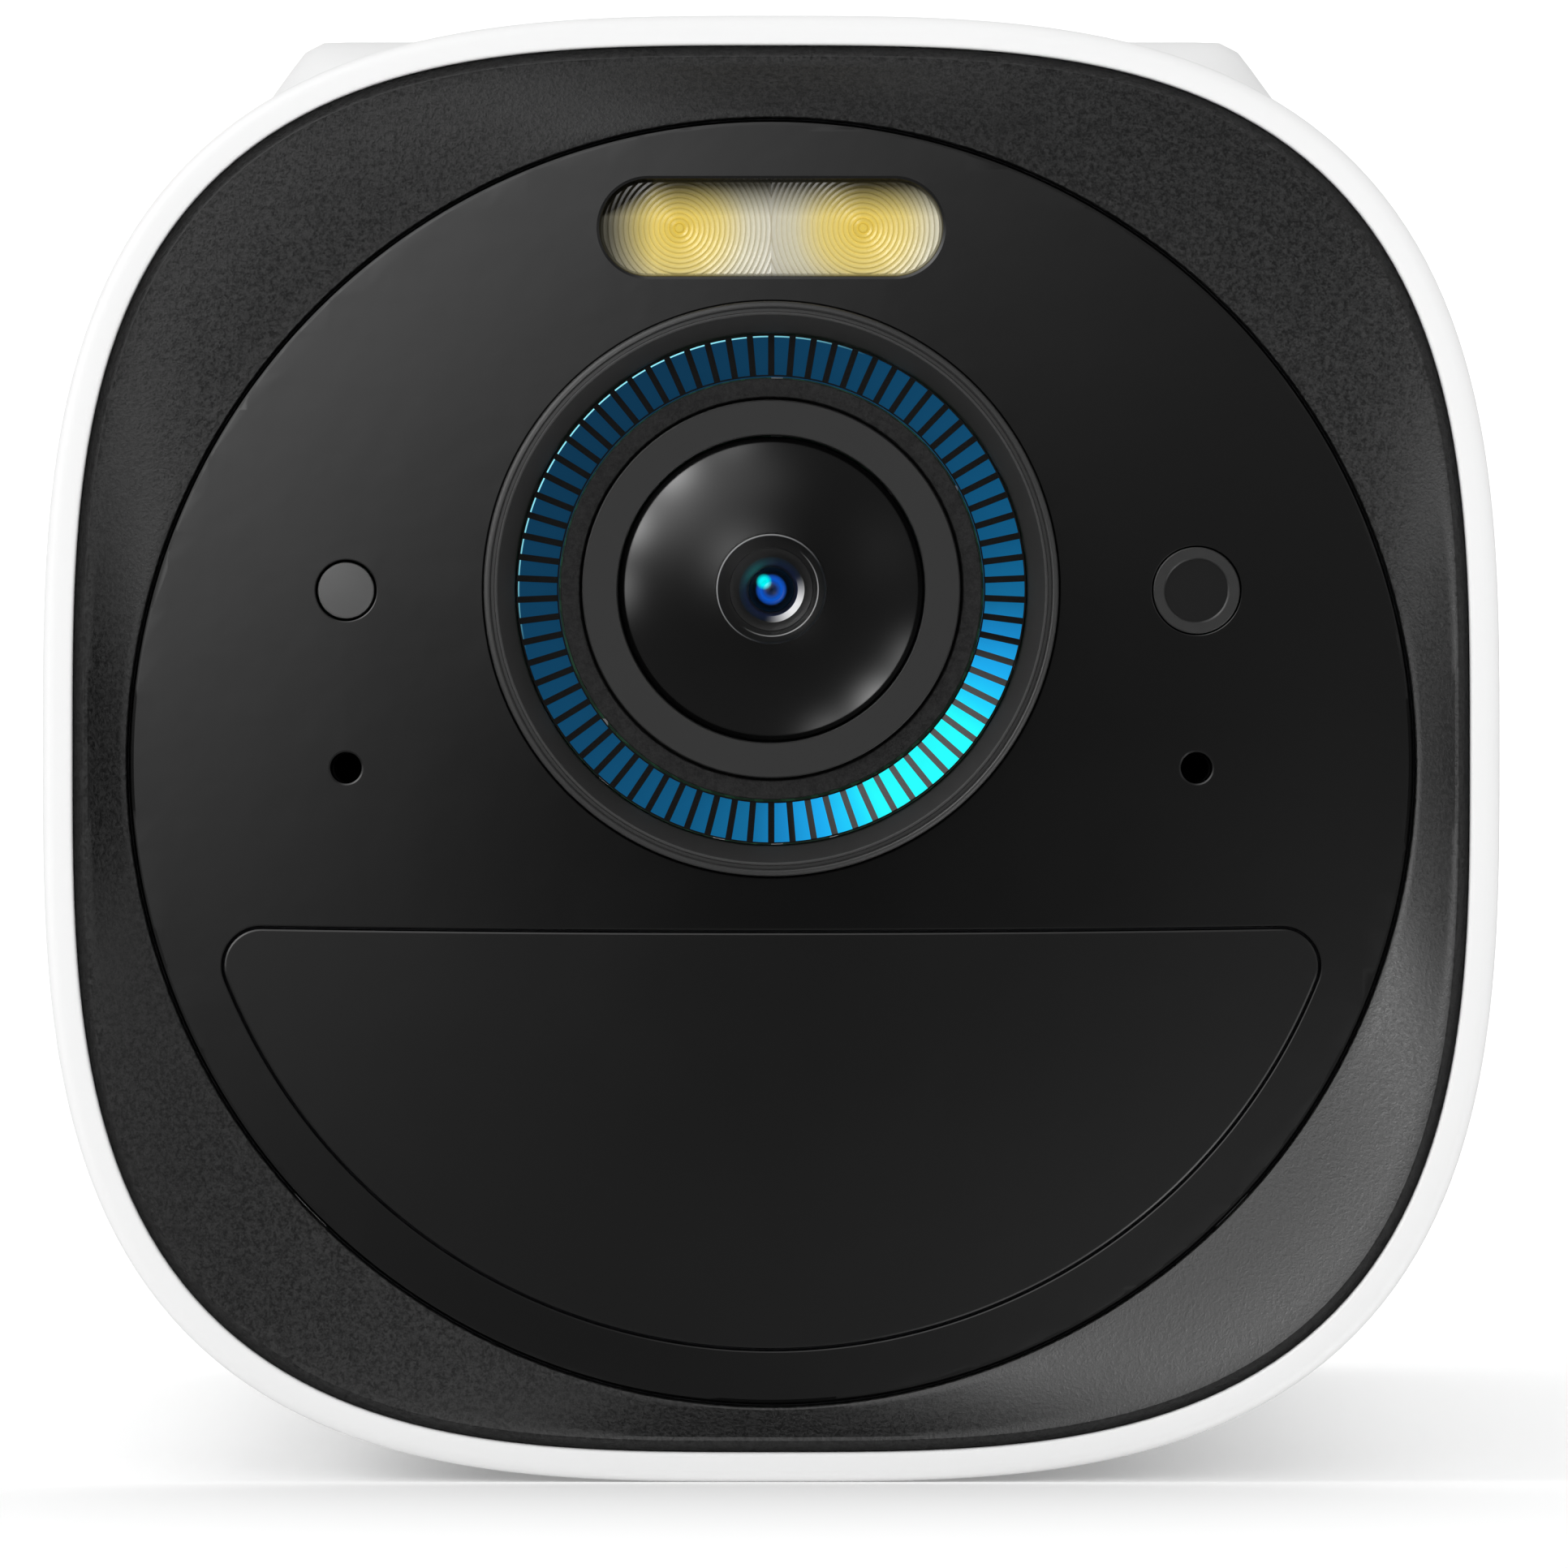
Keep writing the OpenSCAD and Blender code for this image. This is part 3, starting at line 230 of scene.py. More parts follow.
def carve(bm, cutter, operation="DIFFERENCE"):
    stock, tool = as_object(bm, "stock"), as_object(cutter, "tool")
    cut = stock.modifiers.new("cut", "BOOLEAN")
    cut.operation, cut.solver, cut.object = operation, "EXACT", tool
    result = bmesh.new()
    result.from_object(stock, bpy.context.evaluated_depsgraph_get())
    for obj in (stock, tool):
        mesh = obj.data
        bpy.data.objects.remove(obj)
        bpy.data.meshes.remove(mesh)
    return result


# %% [markdown]
# ## Small tools for finishes
# A finish is a node tree. Written out link by link it is hard to read, so one class holds a socket
# and turns Python sums into Math nodes, and another adds every other kind of node. The sky has a
# node tree too, so adding nodes is kept apart from what only a material needs.

# %% Sockets that can be added and multiplied
class Wire:
    def __init__(self, finish, socket):
        self.finish, self.socket = finish, socket

    def sum(self, operation, *values):
        return self.finish.node("ShaderNodeMath", {"operation": operation}, dict(enumerate(values)))

    def __add__(self, other): return self.sum("ADD", self, other)
    def __radd__(self, other): return self.sum("ADD", other, self)
    def __sub__(self, other): return self.sum("SUBTRACT", self, other)
    def __rsub__(self, other): return self.sum("SUBTRACT", other, self)
    def __mul__(self, other): return self.sum("MULTIPLY", self, other)
    def __rmul__(self, other): return self.sum("MULTIPLY", other, self)
    def __truediv__(self, other): return self.sum("DIVIDE", self, other)
    def __rtruediv__(self, other): return self.sum("DIVIDE", other, self)
    def __pow__(self, other): return self.sum("POWER", self, other)
    def __neg__(self): return self.sum("MULTIPLY", self, -1.0)
    def __gt__(self, other): return self.sum("GREATER_THAN", self, other)
    def __lt__(self, other): return self.sum("LESS_THAN", self, other)
    def low(self, other): return self.sum("MINIMUM", self, other)
    def high(self, other): return self.sum("MAXIMUM", self, other)
    def root(self): return self.sum("SQRT", self)
    def part(self): return self.sum("FRACT", self)
    def size(self): return self.sum("ABSOLUTE", self)
    def held(self): return self.high(0.0).low(1.0)


# %% Node trees
class Nodes:
    def __init__(self, tree):
        self.tree = tree
        self.tree.nodes.clear()

    def node(self, kind, settings=None, inputs=None, output=0):
        made = self.tree.nodes.new(kind)
        for key, value in (settings or {}).items():
            if key == "stops":
                ramp = made.color_ramp.elements
                while len(ramp) < len(value):
                    ramp.new(1.0)
                for stop, (place, colour) in zip(ramp, value):
                    stop.position, stop.color = place, colour
            else:
                setattr(made, key, value)
        for key, value in (inputs or {}).items():
            if isinstance(value, Wire):
                self.tree.links.new(value.socket, made.inputs[key])
            else:
                made.inputs[key].default_value = value
        return Wire(self, made.outputs[output]) if made.outputs else None


# %% Materials
class Finish(Nodes):
    def __init__(self, name):
        self.material = bpy.data.materials.new(name)
        self.material.use_nodes = True
        super().__init__(self.material.node_tree)

    def place(self, x=0.0, z=0.0):
        """Object coordinates in millimetres: across, along the depth, and up from (x, z)."""
        where = self.node("ShaderNodeTexCoord", output=3)
        moved = self.node("ShaderNodeMapping", {"vector_type": "POINT"},
                          {0: where, 1: (-x, -front_y, -z), 3: (1 / MM,) * 3})
        self.vector = moved
        return [self.node("ShaderNodeSeparateXYZ", inputs={0: moved}, output=i) for i in range(3)]

    def noise(self, scale, detail=2.0, rough=0.5):
        return self.node("ShaderNodeTexNoise", inputs={
            "Vector": self.vector, "Scale": scale, "Detail": detail, "Roughness": rough})

    def mix(self, share, a, b):
        return self.node("ShaderNodeMix", {"data_type": "RGBA"}, {0: share, 6: a, 7: b}, output=2)

    def ramp(self, share, stops):
        return self.node("ShaderNodeValToRGB", {"stops": stops}, {0: share})

    def bump(self, height, depth_mm):
        return self.node("ShaderNodeBump", inputs={
            "Height": height, "Distance": depth_mm * MM, "Strength": 1.0})

    def shade(self, sockets):
        surface = self.node("ShaderNodeBsdfPrincipled", inputs=sockets)
        self.node("ShaderNodeOutputMaterial", inputs={0: surface})
        return self.material


def tone(r, g=None, b=None, alpha=1.0):
    """A colour from its 0 to 255 screen values."""
    values = (r, r, r) if g is None else (r, g, b)
    straight = [c / 255 / 12.92 if c <= 10 else ((c / 255 + 0.055) / 1.055) ** 2.4 for c in values]
    return (*straight, alpha)


def shade_of(colour, factor):
    return (*(min(1.0, c * factor) for c in colour[:3]), 1.0)


def away(x, z):
    """The distance from an axis along the depth."""
    return (x * x + z * z).root()


# %% [markdown]
# Moulded plastic is never quite even. The colour drifts slightly over a few millimetres, and a fine
# grain in the tool leaves a texture that catches light. One function makes them all, and each piece
# says how coarse its grain is and how shiny it is.

# %% Moulded plastic and rubber
def moulded(name, colour, rough=0.45, drift=0.06, grain=6.0, depth=0.006, rough_drift=0.06, **more):
    f = Finish(name)
    f.place()
    cloud = f.noise(0.12, 3.0)
    fine = f.noise(grain, 2.0, 0.6)
    base = f.mix(cloud * 0.7 + fine * 0.3, shade_of(colour, 1 - drift), shade_of(colour, 1 + drift))
    return f.shade({"Base Color": base, "Roughness": fine * rough_drift + (rough - rough_drift / 2),
                    "Normal": f.bump(fine, depth), **more})


# %% [markdown]
# Metal parts here are turned, stamped or plated. Fine marks run along the way the tool went, so the
# noise is stretched, and they change the roughness more than the colour.

# %% Metal
def metal(name, colour, rough=0.3, along=(0.4, 8.0, 8.0), marks=0.2, **more):
    f = Finish(name)
    f.place()
    f.vector = f.node("ShaderNodeMapping", inputs={0: f.vector, 3: along})
    scratch = f.noise(1.0, 3.0, 0.7)
    return f.shade({"Base Color": f.mix(scratch, shade_of(colour, 0.85), shade_of(colour, 1.1)),
                    "Metallic": 1.0, "Roughness": scratch * marks + (rough - marks / 2),
                    "Normal": f.bump(scratch, 0.003), **more})


# %% [markdown]
# A circuit board is a green lacquer over copper: tracks show as slightly lighter, raised lines, with
# small tinned pads between them.

# %% Circuit board
def board(name, colour, track):
    f = Finish(name)
    x, d, z = f.place()
    bend = f.noise(0.2, 1.0) * 3.0
    lines = (((x + z + bend) * 0.9).part() < 0.42) * (((d - x + bend) * 0.35).part() < 0.8)
    pad = ((x * 0.4).part() < 0.2) * (((d + z) * 0.4).part() < 0.16)
    base = f.mix(pad, f.mix(lines * 0.8, colour, track), tone(196, 198, 200))
    return f.shade({"Base Color": base, "Roughness": 0.32 + f.noise(4.0) * 0.12, "Metallic": pad * 0.9,
                    "Normal": f.bump(lines + pad, 0.03)})


# %% [markdown]
# ## The two main finishes of the outside
# The shell is a fine satin white. The bezel round the panel is spark-eroded: its tool was etched with
# tiny craters, so it looks grainy from close by and soft grey from afar.

# %% White shell
def white_finish(name, level=230):
    f = Finish(name)
    f.place()
    fine, cloud = f.noise(9.0, 2.0, 0.6), f.noise(0.05, 2.0)
    base = f.mix(cloud, tone(level - 3), tone(level + 2, level + 2, level + 2))
    return f.shade({"Base Color": base, "Roughness": 0.42 + fine * 0.1, "IOR": 1.46,
                    "Normal": f.bump(fine, 0.0025)})


# %% Spark-eroded black
def spark_black(name, dark, light, grain=7.0, depth=0.03, rough=0.5, **more):
    f = Finish(name)
    f.place()
    craters, fine, cloud = f.noise(grain, 3.0, 0.65), f.noise(grain * 2.3, 2.0), f.noise(0.07, 2.0)
    speck = ((craters * 0.6 + fine * 0.4 - 0.4) * 5.0).held()
    base = f.mix((speck * 0.85 + cloud * 0.15).held(), dark, light)
    return f.shade({"Base Color": base, "Roughness": rough - 0.1 + speck * 0.2,
                    "Normal": f.bump(craters * 0.7 + fine * 0.3, depth), **more})


# %% [markdown]
# The front panel and the motion window are polished black plastic. Polish still leaves a faint
# orange peel that blurs a reflection, and handling leaves a few soft smears.

# %% Gloss black
def gloss_black(name, level, rough, peel=0.004, smear=0.05, **more):
    f = Finish(name)
    f.place()
    wave, cloud = f.noise(0.5, 2.0), f.noise(0.09, 3.0, 0.6)
    base = f.mix(cloud, tone(level * 0.88), tone(level * 1.12))
    return f.shade({"Base Color": base, "Roughness": rough - smear / 2 + cloud * smear,
                    "Normal": f.bump(wave, peel), **more})


# %% [markdown]
# ## A finish for every slot
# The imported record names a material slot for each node. Each slot gets its finish here, so pieces
# deep inside the camera are finished as well as the ones that show.

# %% Finishes by slot
slot_colour = {m["slot"]: m["base_color"] for m in frame["record"]["materials"]}
slot_class = {m["slot"]: m["class"] for m in frame["record"]["materials"]}
node_slot = {p["node"]: p["material_slot"] for p in frame["record"]["subparts"]}
finishes = {
    "white_shell": white_finish("satin white shell"),
    "textured_bezel": spark_black("spark eroded bezel", tone(0), tone(36), 5.0, 0.022, 0.4,
                                  **{"Specular IOR Level": 0.45}),
    "texture_black": spark_black("grainy ring", tone(2), tone(34), 5.5, 0.02, 0.7,
                                 **{"Specular IOR Level": 0.2}),
    "gloss_black": gloss_black("polished black panel", 2.5, 0.16),
    "infrared_window": gloss_black("smooth dark window", 20, 0.4, 0.001, 0.03),
    "circuit_board": board("green circuit board", tone(14, 84, 50), tone(44, 128, 82)),
    "white_board": board("white circuit board", tone(222, 223, 220), tone(236, 236, 232)),
}
for name, colour in slot_colour.items():
    if name in finishes:
        continue
    kind = slot_class[name]
    paint = (*colour[:3], 1.0)
    words = name.replace("_", " ")
    if kind in ("brushed_steel", "aluminium", "brass"):
        finishes[name] = metal(words, paint, 0.42 if kind == "aluminium" else 0.28)
    elif kind == "rubber":
        finishes[name] = moulded(words, paint, 0.7, grain=4.0, depth=0.01)
    elif kind == "matte_plastic":
        finishes[name] = moulded(words, paint, 0.55)
    else:
        finishes[name] = moulded(words, paint, 0.25, grain=1.5, depth=0.002)
print("finishes:", len(finishes))

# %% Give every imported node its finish
for name, node in frame["nodes"].items():
    node.data.materials.clear()
    node.data.materials.append(finishes[node_slot[name]])


# %% [markdown]
# ## Finishing a piece
# A finished piece is moved to its place, scaled to metres, shaded smooth with its sharp edges kept,
# hung on the body it rides on and given its finish, and the imported nodes it stands for are hidden.

# %% Finish a piece
def piece(name, bm, finish, nodes, body="camera", sharp=34):
    bmesh.ops.remove_doubles(bm, verts=bm.verts, dist=0.0005)
    bmesh.ops.dissolve_degenerate(bm, edges=bm.edges, dist=0.0002)
    bmesh.ops.recalc_face_normals(bm, faces=bm.faces)
    bmesh.ops.translate(bm, vec=(0, front_y, 0), verts=bm.verts)
    bmesh.ops.scale(bm, vec=(MM, MM, MM), verts=bm.verts)
    for face in bm.faces:
        face.smooth = True
    for edge in bm.edges:
        edge.smooth = edge.calc_face_angle(0) < math.radians(sharp)
    open_edges = sum(not e.is_manifold for e in bm.edges)
    mesh = bpy.data.meshes.new(name)
    bm.to_mesh(mesh)
    bm.free()
    obj = bpy.data.objects.new(name, mesh)
    bpy.context.scene.collection.objects.link(obj)
    mesh.materials.append(finish)
    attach(obj, body)
    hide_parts(*nodes)
    low, high = (Vector(map(f, zip(*(v.co for v in mesh.vertices)))) / MM for f in (min, max))
    print(f"{name}: {len(mesh.polygons)} faces, {open_edges} open edges, "
          f"x {low.x:.1f}..{high.x:.1f} y {low.y:.1f}..{high.y:.1f} z {low.z:.1f}..{high.z:.1f}")
    return obj


# %% [markdown]
# ## Outline of the shell
# Seen from the front the camera is a rounded square: a superellipse. Moving it in by the same
# distance all round needs a slightly higher exponent. At the top the outline grows into a flat deck
# with sloping shoulders, which just touch the rounded square at the sides.

# %% Outline
squareness, squareness_gain, shoulder = 3.11, 0.045, math.radians(36)
deck_rounding = 150  # a high exponent leaves only a small round where the deck meets its shoulders
around = 256
dual = squareness / (squareness - 1)
shoulder_reach = ((half_w * math.cos(shoulder)) ** dual
                  + (half_h * math.sin(shoulder)) ** dual) ** (1 / dual)
touch_angle = math.atan2(
    half_h * (half_h * math.sin(shoulder) / shoulder_reach) ** (dual - 1),
    half_w * (half_w * math.cos(shoulder) / shoulder_reach) ** (dual - 1))


def outline_radius(a, inset):
    n = squareness + squareness_gain * inset
    across, up = abs(math.cos(a) / (half_w - inset)), abs(math.sin(a) / (half_h - inset))
    return (across ** n + up ** n) ** (-1 / n)


def deck_radius(a):
    fold = math.pi - a if a > math.pi / 2 else a
    if fold <= touch_angle or a > math.pi:
        return outline_radius(a, 0)
    flat, slope = deck_z / math.sin(fold), shoulder_reach / math.cos(fold - shoulder)
    return (flat ** -deck_rounding + slope ** -deck_rounding) ** (-1 / deck_rounding)


def ring(d, inset, lift=0.0, roof=0.0):
    points = []
    for i in range(around):
        a = 2 * math.pi * i / around
        r = outline_radius(a, inset) + lift * (deck_radius(a) - outline_radius(a, 0))
        if roof and math.sin(a) > 0:
            r = min(r, roof / math.sin(a))
        points.append(Vector((r * math.cos(a), d, mid_z + r * math.sin(a))))
    return points


print(f"shoulders touch the outline at {math.degrees(touch_angle):.1f} degrees")

# %% [markdown]
# ## White shell
# The shell is one moulding: a rounded rim in front, plain sides, and on top the deck that carries the
# solar panel. It is lofted ring by ring, out along the outside and back along the inside, so it has a
# real wall. Then the pocket for the solar cells, the lead holes and the speaker grille are cut.

# %% Shell skin
rim, wall, edge_r, lip_r = 1.25, 2.0, 0.55, 0.15
deck_d0, deck_ramp = 20.0, 6.0
deck_d1 = shell_len - 4
ledge_d0, ledge_d1, ledge_w = 8.0, 10.5, wall + 2
pocket_z, pocket_floor = span("solar_cells")[0].z, 1.4
roof_z = pocket_z - pocket_floor - mid_z
quarter = [math.radians(t) for t in range(0, 91, 15)]
shell_rings = [ring(lip_r * (1 - math.sin(t)), rim - lip_r * (1 - math.cos(t))) for t in quarter]
shell_rings += [ring(edge_r * (1 - math.cos(t)), edge_r * (1 - math.sin(t))) for t in quarter]
shell_rings += [ring(d, 0) for d in (4.0, 12.0, deck_d0 - 0.5)]


def eased(t):
    return t * t * (3 - 2 * t)


shell_rings += [ring(deck_d0 + deck_ramp * step / 8, 0, eased(step / 8)) for step in range(9)]
shell_rings += [ring(deck_d1 - 0.3 * s, 0, 1) for s in (1, 0)]
shell_rings += [ring(deck_d1 + 4 * t, 0, 1 - eased(t)) for t in (0.25, 0.5, 0.75)]
shell_rings += [ring(shell_len - lip_r, 0), ring(shell_len, lip_r), ring(shell_len, wall)]
shell_rings += [ring(deck_d1, wall), ring(deck_d1 - 2, wall, 0, roof_z),
                ring(deck_d0 + 4, wall, 0, roof_z), ring(deck_d0 + 2.5, wall), ring(ledge_d1, wall),
                ring(ledge_d1, ledge_w), ring(ledge_d0, ledge_w), ring(ledge_d0, rim), ring(lip_r, rim)]
shell = loft(bmesh.new(), shell_rings, caps=False)
print("rings in the shell:", len(shell_rings))

# %% Pocket, lead holes and speaker grille
seal_low, seal_high = span("solar_seal")
speaker = middle("speaker")
speaker_d = speaker.y - front_y
lead = middle("solar_lead")
cutter = bmesh.new()
block(cutter, (seal_low.x, seal_low.y - front_y, pocket_z),
      (seal_high.x, seal_high.y - front_y, pocket_z + 5))
lead_x, lead_d, lead_hole_r = 0.8, lead.y - front_y, 0.6
for x in (-lead_x, lead_x):
    rod(cutter, (x, lead_d, pocket_z + 0.5), (x, lead_d, pocket_z - 4), lead_hole_r)
grille_pitch, grille_r = 2.6, 0.6
for lap in range(3):
    for i in range(max(1, 6 * lap)):
        a = i * math.pi / 3 / max(lap, 1)
        x, d = lap * grille_pitch * math.cos(a), speaker_d + lap * grille_pitch * math.sin(a)
        hole = bmesh.ops.create_cone(cutter, cap_ends=True, segments=24, radius1=grille_r + 0.5,
                                     radius2=grille_r, depth=0.5)["verts"]
        bmesh.ops.translate(cutter, vec=(x, d, 0.0), verts=hole)
        rod(cutter, (x, d, 0.2), (x, d, 3.4), grille_r, 24)
shell = carve(shell, cutter)
piece("white_shell_body", shell, finishes["white_shell"], ["housing"])

# %% [markdown]
# ## Textured bezel
# Between the white rim and the round panel lies a dished face. Its outer edge follows the rounded
# square and its inner edge is a circle, so it is narrow at the sides and wide in the corners, and it
# slopes in towards the panel. It is lofted from the circle out to the square.

# %% Bezel
def round_ring(d, r):
    turns = (2 * math.pi * i / around for i in range(around))
    return [Vector((r * math.cos(a), d, panel_z + r * math.sin(a))) for a in turns]


def between(a, b, t, dip=0.0):
    return [p.lerp(q, t) + Vector((0, dip, 0)) for p, q in zip(a, b)]


inner_d = crown(panel_r) - 0.15
edge_in, edge_out = round_ring(inner_d, panel_r + 0.22), ring(0.52, rim + 0.65)
bezel_rings = [round_ring(carrier_d, panel_r + 0.1), round_ring(inner_d + 0.12, panel_r + 0.1),
               round_ring(inner_d + 0.03, panel_r + 0.14), edge_in]
dish = 0.1
bezel_rings += [between(edge_in, edge_out, t, dish * math.sin(math.pi * t))
                for t in (0.12, 0.3, 0.5, 0.7, 0.88)]
bezel_rings += [edge_out, ring(0.46, rim + 0.5), ring(0.5, rim + 0.38), ring(0.85, rim + 0.05),
                ring(carrier_d, rim + 0.05), round_ring(carrier_d, panel_r + 0.1)]
piece("textured_bezel_frame", loft(bmesh.new(), bezel_rings, caps=False), finishes["textured_bezel"],
      ["front_bezel"])

# %% [markdown]
# ## Round panel and motion window
# The panel is a gently crowned disc with openings for the lens, the lamps, the sensors, the two
# microphones and the D-shaped motion window. It is simplest to cut it while it is flat, with cutters
# that flare at the mouth, so each opening gets an even bevel. Then it is sliced into a fine grid and
# bent to its crown.

# %% Bend a flat plate to the crown
def sliced(bm, spacing=1.7):
    reach = panel_r
    steps = int(2 * reach / spacing)
    for axis, start in ((Vector((1, 0, 0)), Vector((-reach, 0, 0))),
                        (Vector((0, 0, 1)), Vector((0, 0, panel_z - reach)))):
        for i in range(1, steps + 1):
            bmesh.ops.bisect_plane(bm, geom=bm.verts[:] + bm.edges[:] + bm.faces[:], dist=1e-5,
                                   plane_co=start + axis * (spacing * i - 0.013), plane_no=axis)
    return bm


def crowned(bm, back):
    for v in bm.verts:
        if v.co.y < back - 0.001:
            v.co.y += crown(math.hypot(v.co.x, v.co.z - panel_z))
        else:
            v.co.y = carrier_d
    return bm


# %% Outline of the motion window
window_r = panel_z - window_low.z + 0.1
window_top = window_high.z + 0.1 - panel_z
corner_r, sag = 1.7, 0.17
corner_x = math.sqrt((window_r - corner_r) ** 2 - (window_top - corner_r) ** 2)
corner_turn = math.degrees(math.atan2(window_top - corner_r, corner_x))
sag_r = (corner_x ** 2 + sag ** 2) / (2 * sag)
sag_turn = math.degrees(math.asin(corner_x / sag_r))


def window_loop(gap):
    corner_z, top_turn = window_top - corner_r, sag_turn * 0.985
    return arcs([(corner_x, corner_z, corner_r, corner_turn, 90, 16),
                 (0, window_top + sag_r - sag, sag_r, -90 + top_turn, -90 - top_turn, 24),
                 (-corner_x, corner_z, corner_r, 90, 180 - corner_turn, 16),
                 (0, 0, window_r, 180 - corner_turn + 1, 360 + corner_turn - 1, 150)], gap)


print(f"motion window: {2 * corner_x + 2 * corner_r:.1f} across")

# %% Panel with its openings
plate_t, mic_r = 3.0, 0.65
openings = [(0.06, circle_loop(lens_r + 0.05, 256), 0, lens_z),
            (0.16, stadium_loop(spot_w, spot_h), 0, spot_z),
            (0.06, circle_loop(1.3, 64), sensor.x, sensor.z),
            (0.05, circle_loop(1.9, 96), status.x, status.z),
            (0.1, circle_loop(mic_r, 48), sensor.x, mic_z),
            (0.1, circle_loop(mic_r, 48), -sensor.x, mic_z),
            (0.07, window_loop, 0, panel_z)]
plate = plug(bmesh.new(), circle_loop(panel_r, around),
             [(0, plate_t), (0, 0.22), (0.03, 0.12), (0.1, 0.035), (0.22, 0)], 0, panel_z)
cutter = bmesh.new()
for bevel, loop, x, z in openings:
    plug(cutter, loop, [(0, plate_t + 1), (0, bevel), (-0.3 * bevel, 0.3 * bevel), (-bevel, 0), (-bevel, -1)],
         x, z)
plate = crowned(sliced(carve(plate, cutter)), plate_t)
panel = piece("polished_panel", plate, finishes["gloss_black"], ["front_panel"], sharp=16)

# %% [markdown]
# Bending the plates leaves their long thin faces with uneven normals near the rim. A Weighted Normal
# modifier lets the large faces lead, so a reflection runs smoothly up to the edge.

# %% Motion window
window = plug(bmesh.new(), window_loop, [(0.1, plate_t), (0.1, 0.1), (0.13, 0.03), (0.2, 0)], 0, panel_z)
window_finish = gloss_black("satin black window", 6, 0.2, 0.003, 0.05)
window = piece("motion_window", crowned(sliced(window), plate_t), window_finish, ["pir_window"],
               sharp=16)
for obj in (panel, window):
    even = obj.modifiers.new("even shading", "WEIGHTED_NORMAL")
    even.weight, even.keep_sharp = 100, True

# %% [markdown]
# ## Rings around the lens
# The lens sits in a turned bezel with a rolled lip and a polished cone. Inside it lie the blue light
# ring with its printed spokes, a grainy ring, and a smooth grey ring that hides the infrared lamps.
# Every one of them is a profile turned about the lens axis.

# %% Lens bezel
bore_r = lens_r - 1.28
bezel_back = depths("lens_bezel")[1]
lip = [(bore_r, 2.2), (bore_r + 0.68, 0.98), (bore_r + 0.7, 0.92), (bore_r + 0.76, 0.9),
       (bore_r + 0.81, 0.92), (bore_r + 0.85, 1.08), (bore_r + 0.97, 1.1), (bore_r + 1.03, 0.98),
       (bore_r + 1.08, 0.95), (lens_r - 0.1, 0.97), (lens_r - 0.03, 1.03), (lens_r, 1.15),
       (lens_r, bezel_back), (bore_r, bezel_back)]
lip_finish = gloss_black("polished lens cone", 46, 0.42, 0.001, 0.04, **{"Specular IOR Level": 0.35})
piece("lens_cone", turned(bmesh.new(), lip, z=lens_z, steps=256), lip_finish, ["lens_bezel"],
      sharp=42)

# %% [markdown]
# The light ring is lit from behind. Its glow is dim navy most of the way round and rises to bright
# cyan at the lower right, with a pale glint on its outer edge at the upper left. Both are painted by
# the direction from the lens axis, which stays with the ring when the camera is turned. The glow is
# faint, so it is kept from lighting the pieces round it or showing in them.

# %% Light ring
light_w = 1.75
light_r1, light_r0 = bore_r - 0.12, bore_r - 0.12 - light_w
light_d, light_back = depths("light_ring")
glow_peak = math.radians(-49)


def toward_glow(x, z, reach, turn=0.0):
    """1 in the direction in which the ring is brightest, -1 on the opposite side."""
    return (x * math.cos(glow_peak + turn) + z * math.sin(glow_peak + turn)) / reach


f = Finish("blue light guide")
x, d, z = f.place(0, lens_z)
reach = away(x, z).high(0.1)
facing = toward_glow(x, z, reach)
glow = f.ramp(facing * 0.5 + 0.5, [
    (0.0, tone(8, 52, 80)), (0.5, tone(11, 70, 106)), (0.75, tone(12, 86, 128)),
    (0.85, tone(16, 106, 154)), (0.895, tone(22, 134, 198)), (0.94, tone(28, 174, 242)),
    (0.97, tone(32, 214, 255)), (0.985, tone(40, 255, 255))])
fade = 0.9 + f.noise(1.2, 2.0) * 0.1 + (reach - light_r0) * 0.06
glint = (reach > light_r1 - 0.1) * (facing * -2.2 - 1.0).held()
glow = f.mix(glint, f.mix(fade.held(), tone(0, 24, 42), glow), tone(150, 240, 255))
guide = f.shade({"Base Color": f.mix(f.noise(0.6), tone(0, 2, 4), tone(1, 4, 8)),
                 "Roughness": 0.3 + f.noise(3.0) * 0.1, "Specular IOR Level": 0.04,
                 "Emission Color": glow, "Emission Strength": 1.0})
profile = [(light_r0, light_d + 0.05), (light_r0 + 0.05, light_d), (light_r1 - 0.05, light_d),
           (light_r1, light_d + 0.05), (light_r1, light_back), (light_r0, light_back)]
blue_ring = piece("blue_ring", turned(bmesh.new(), profile, z=lens_z, steps=222), guide, ["light_ring"])
blue_ring.visible_diffuse = blue_ring.visible_glossy = False

# %% [markdown]
# A thin black print covers the guide and leaves clear gaps, so the ring shows as separate segments.
# The print is two rims and one narrow bar for each segment. Where the guide behind is brightest, a
# little light comes through the print, so the bars are painted grey there.

# %% Printed spokes over the light ring
mask_d = depths("light_ring_mask")[0]
segments, spoke_w = 74, 0.27
mask = bmesh.new()
for inner, outer in ((light_r1 - 0.04, light_r1 + 0.02), (light_r0 - 0.02, light_r0 + 0.04)):
    turned(mask, [(inner, mask_d), (outer, mask_d), (outer, light_d), (inner, light_d)], z=lens_z,
           steps=2 * segments)
for i in range(segments):
    spoke = bmesh.ops.create_cube(mask, size=1)["verts"]
    bmesh.ops.scale(mask, vec=(light_w, light_d - mask_d - 0.02, spoke_w), verts=spoke)
    bmesh.ops.translate(mask, vec=((light_r0 + light_r1) / 2, (light_d + mask_d) / 2, 0), verts=spoke)
    turn = Matrix.Rotation(2 * math.pi * (i + 0.5) / segments, 4, "Y")
    bmesh.ops.transform(mask, matrix=Matrix.Translation((0, 0, lens_z)) @ turn, verts=spoke)
f = Finish("printed mask")
x, d, z = f.place(0, lens_z)
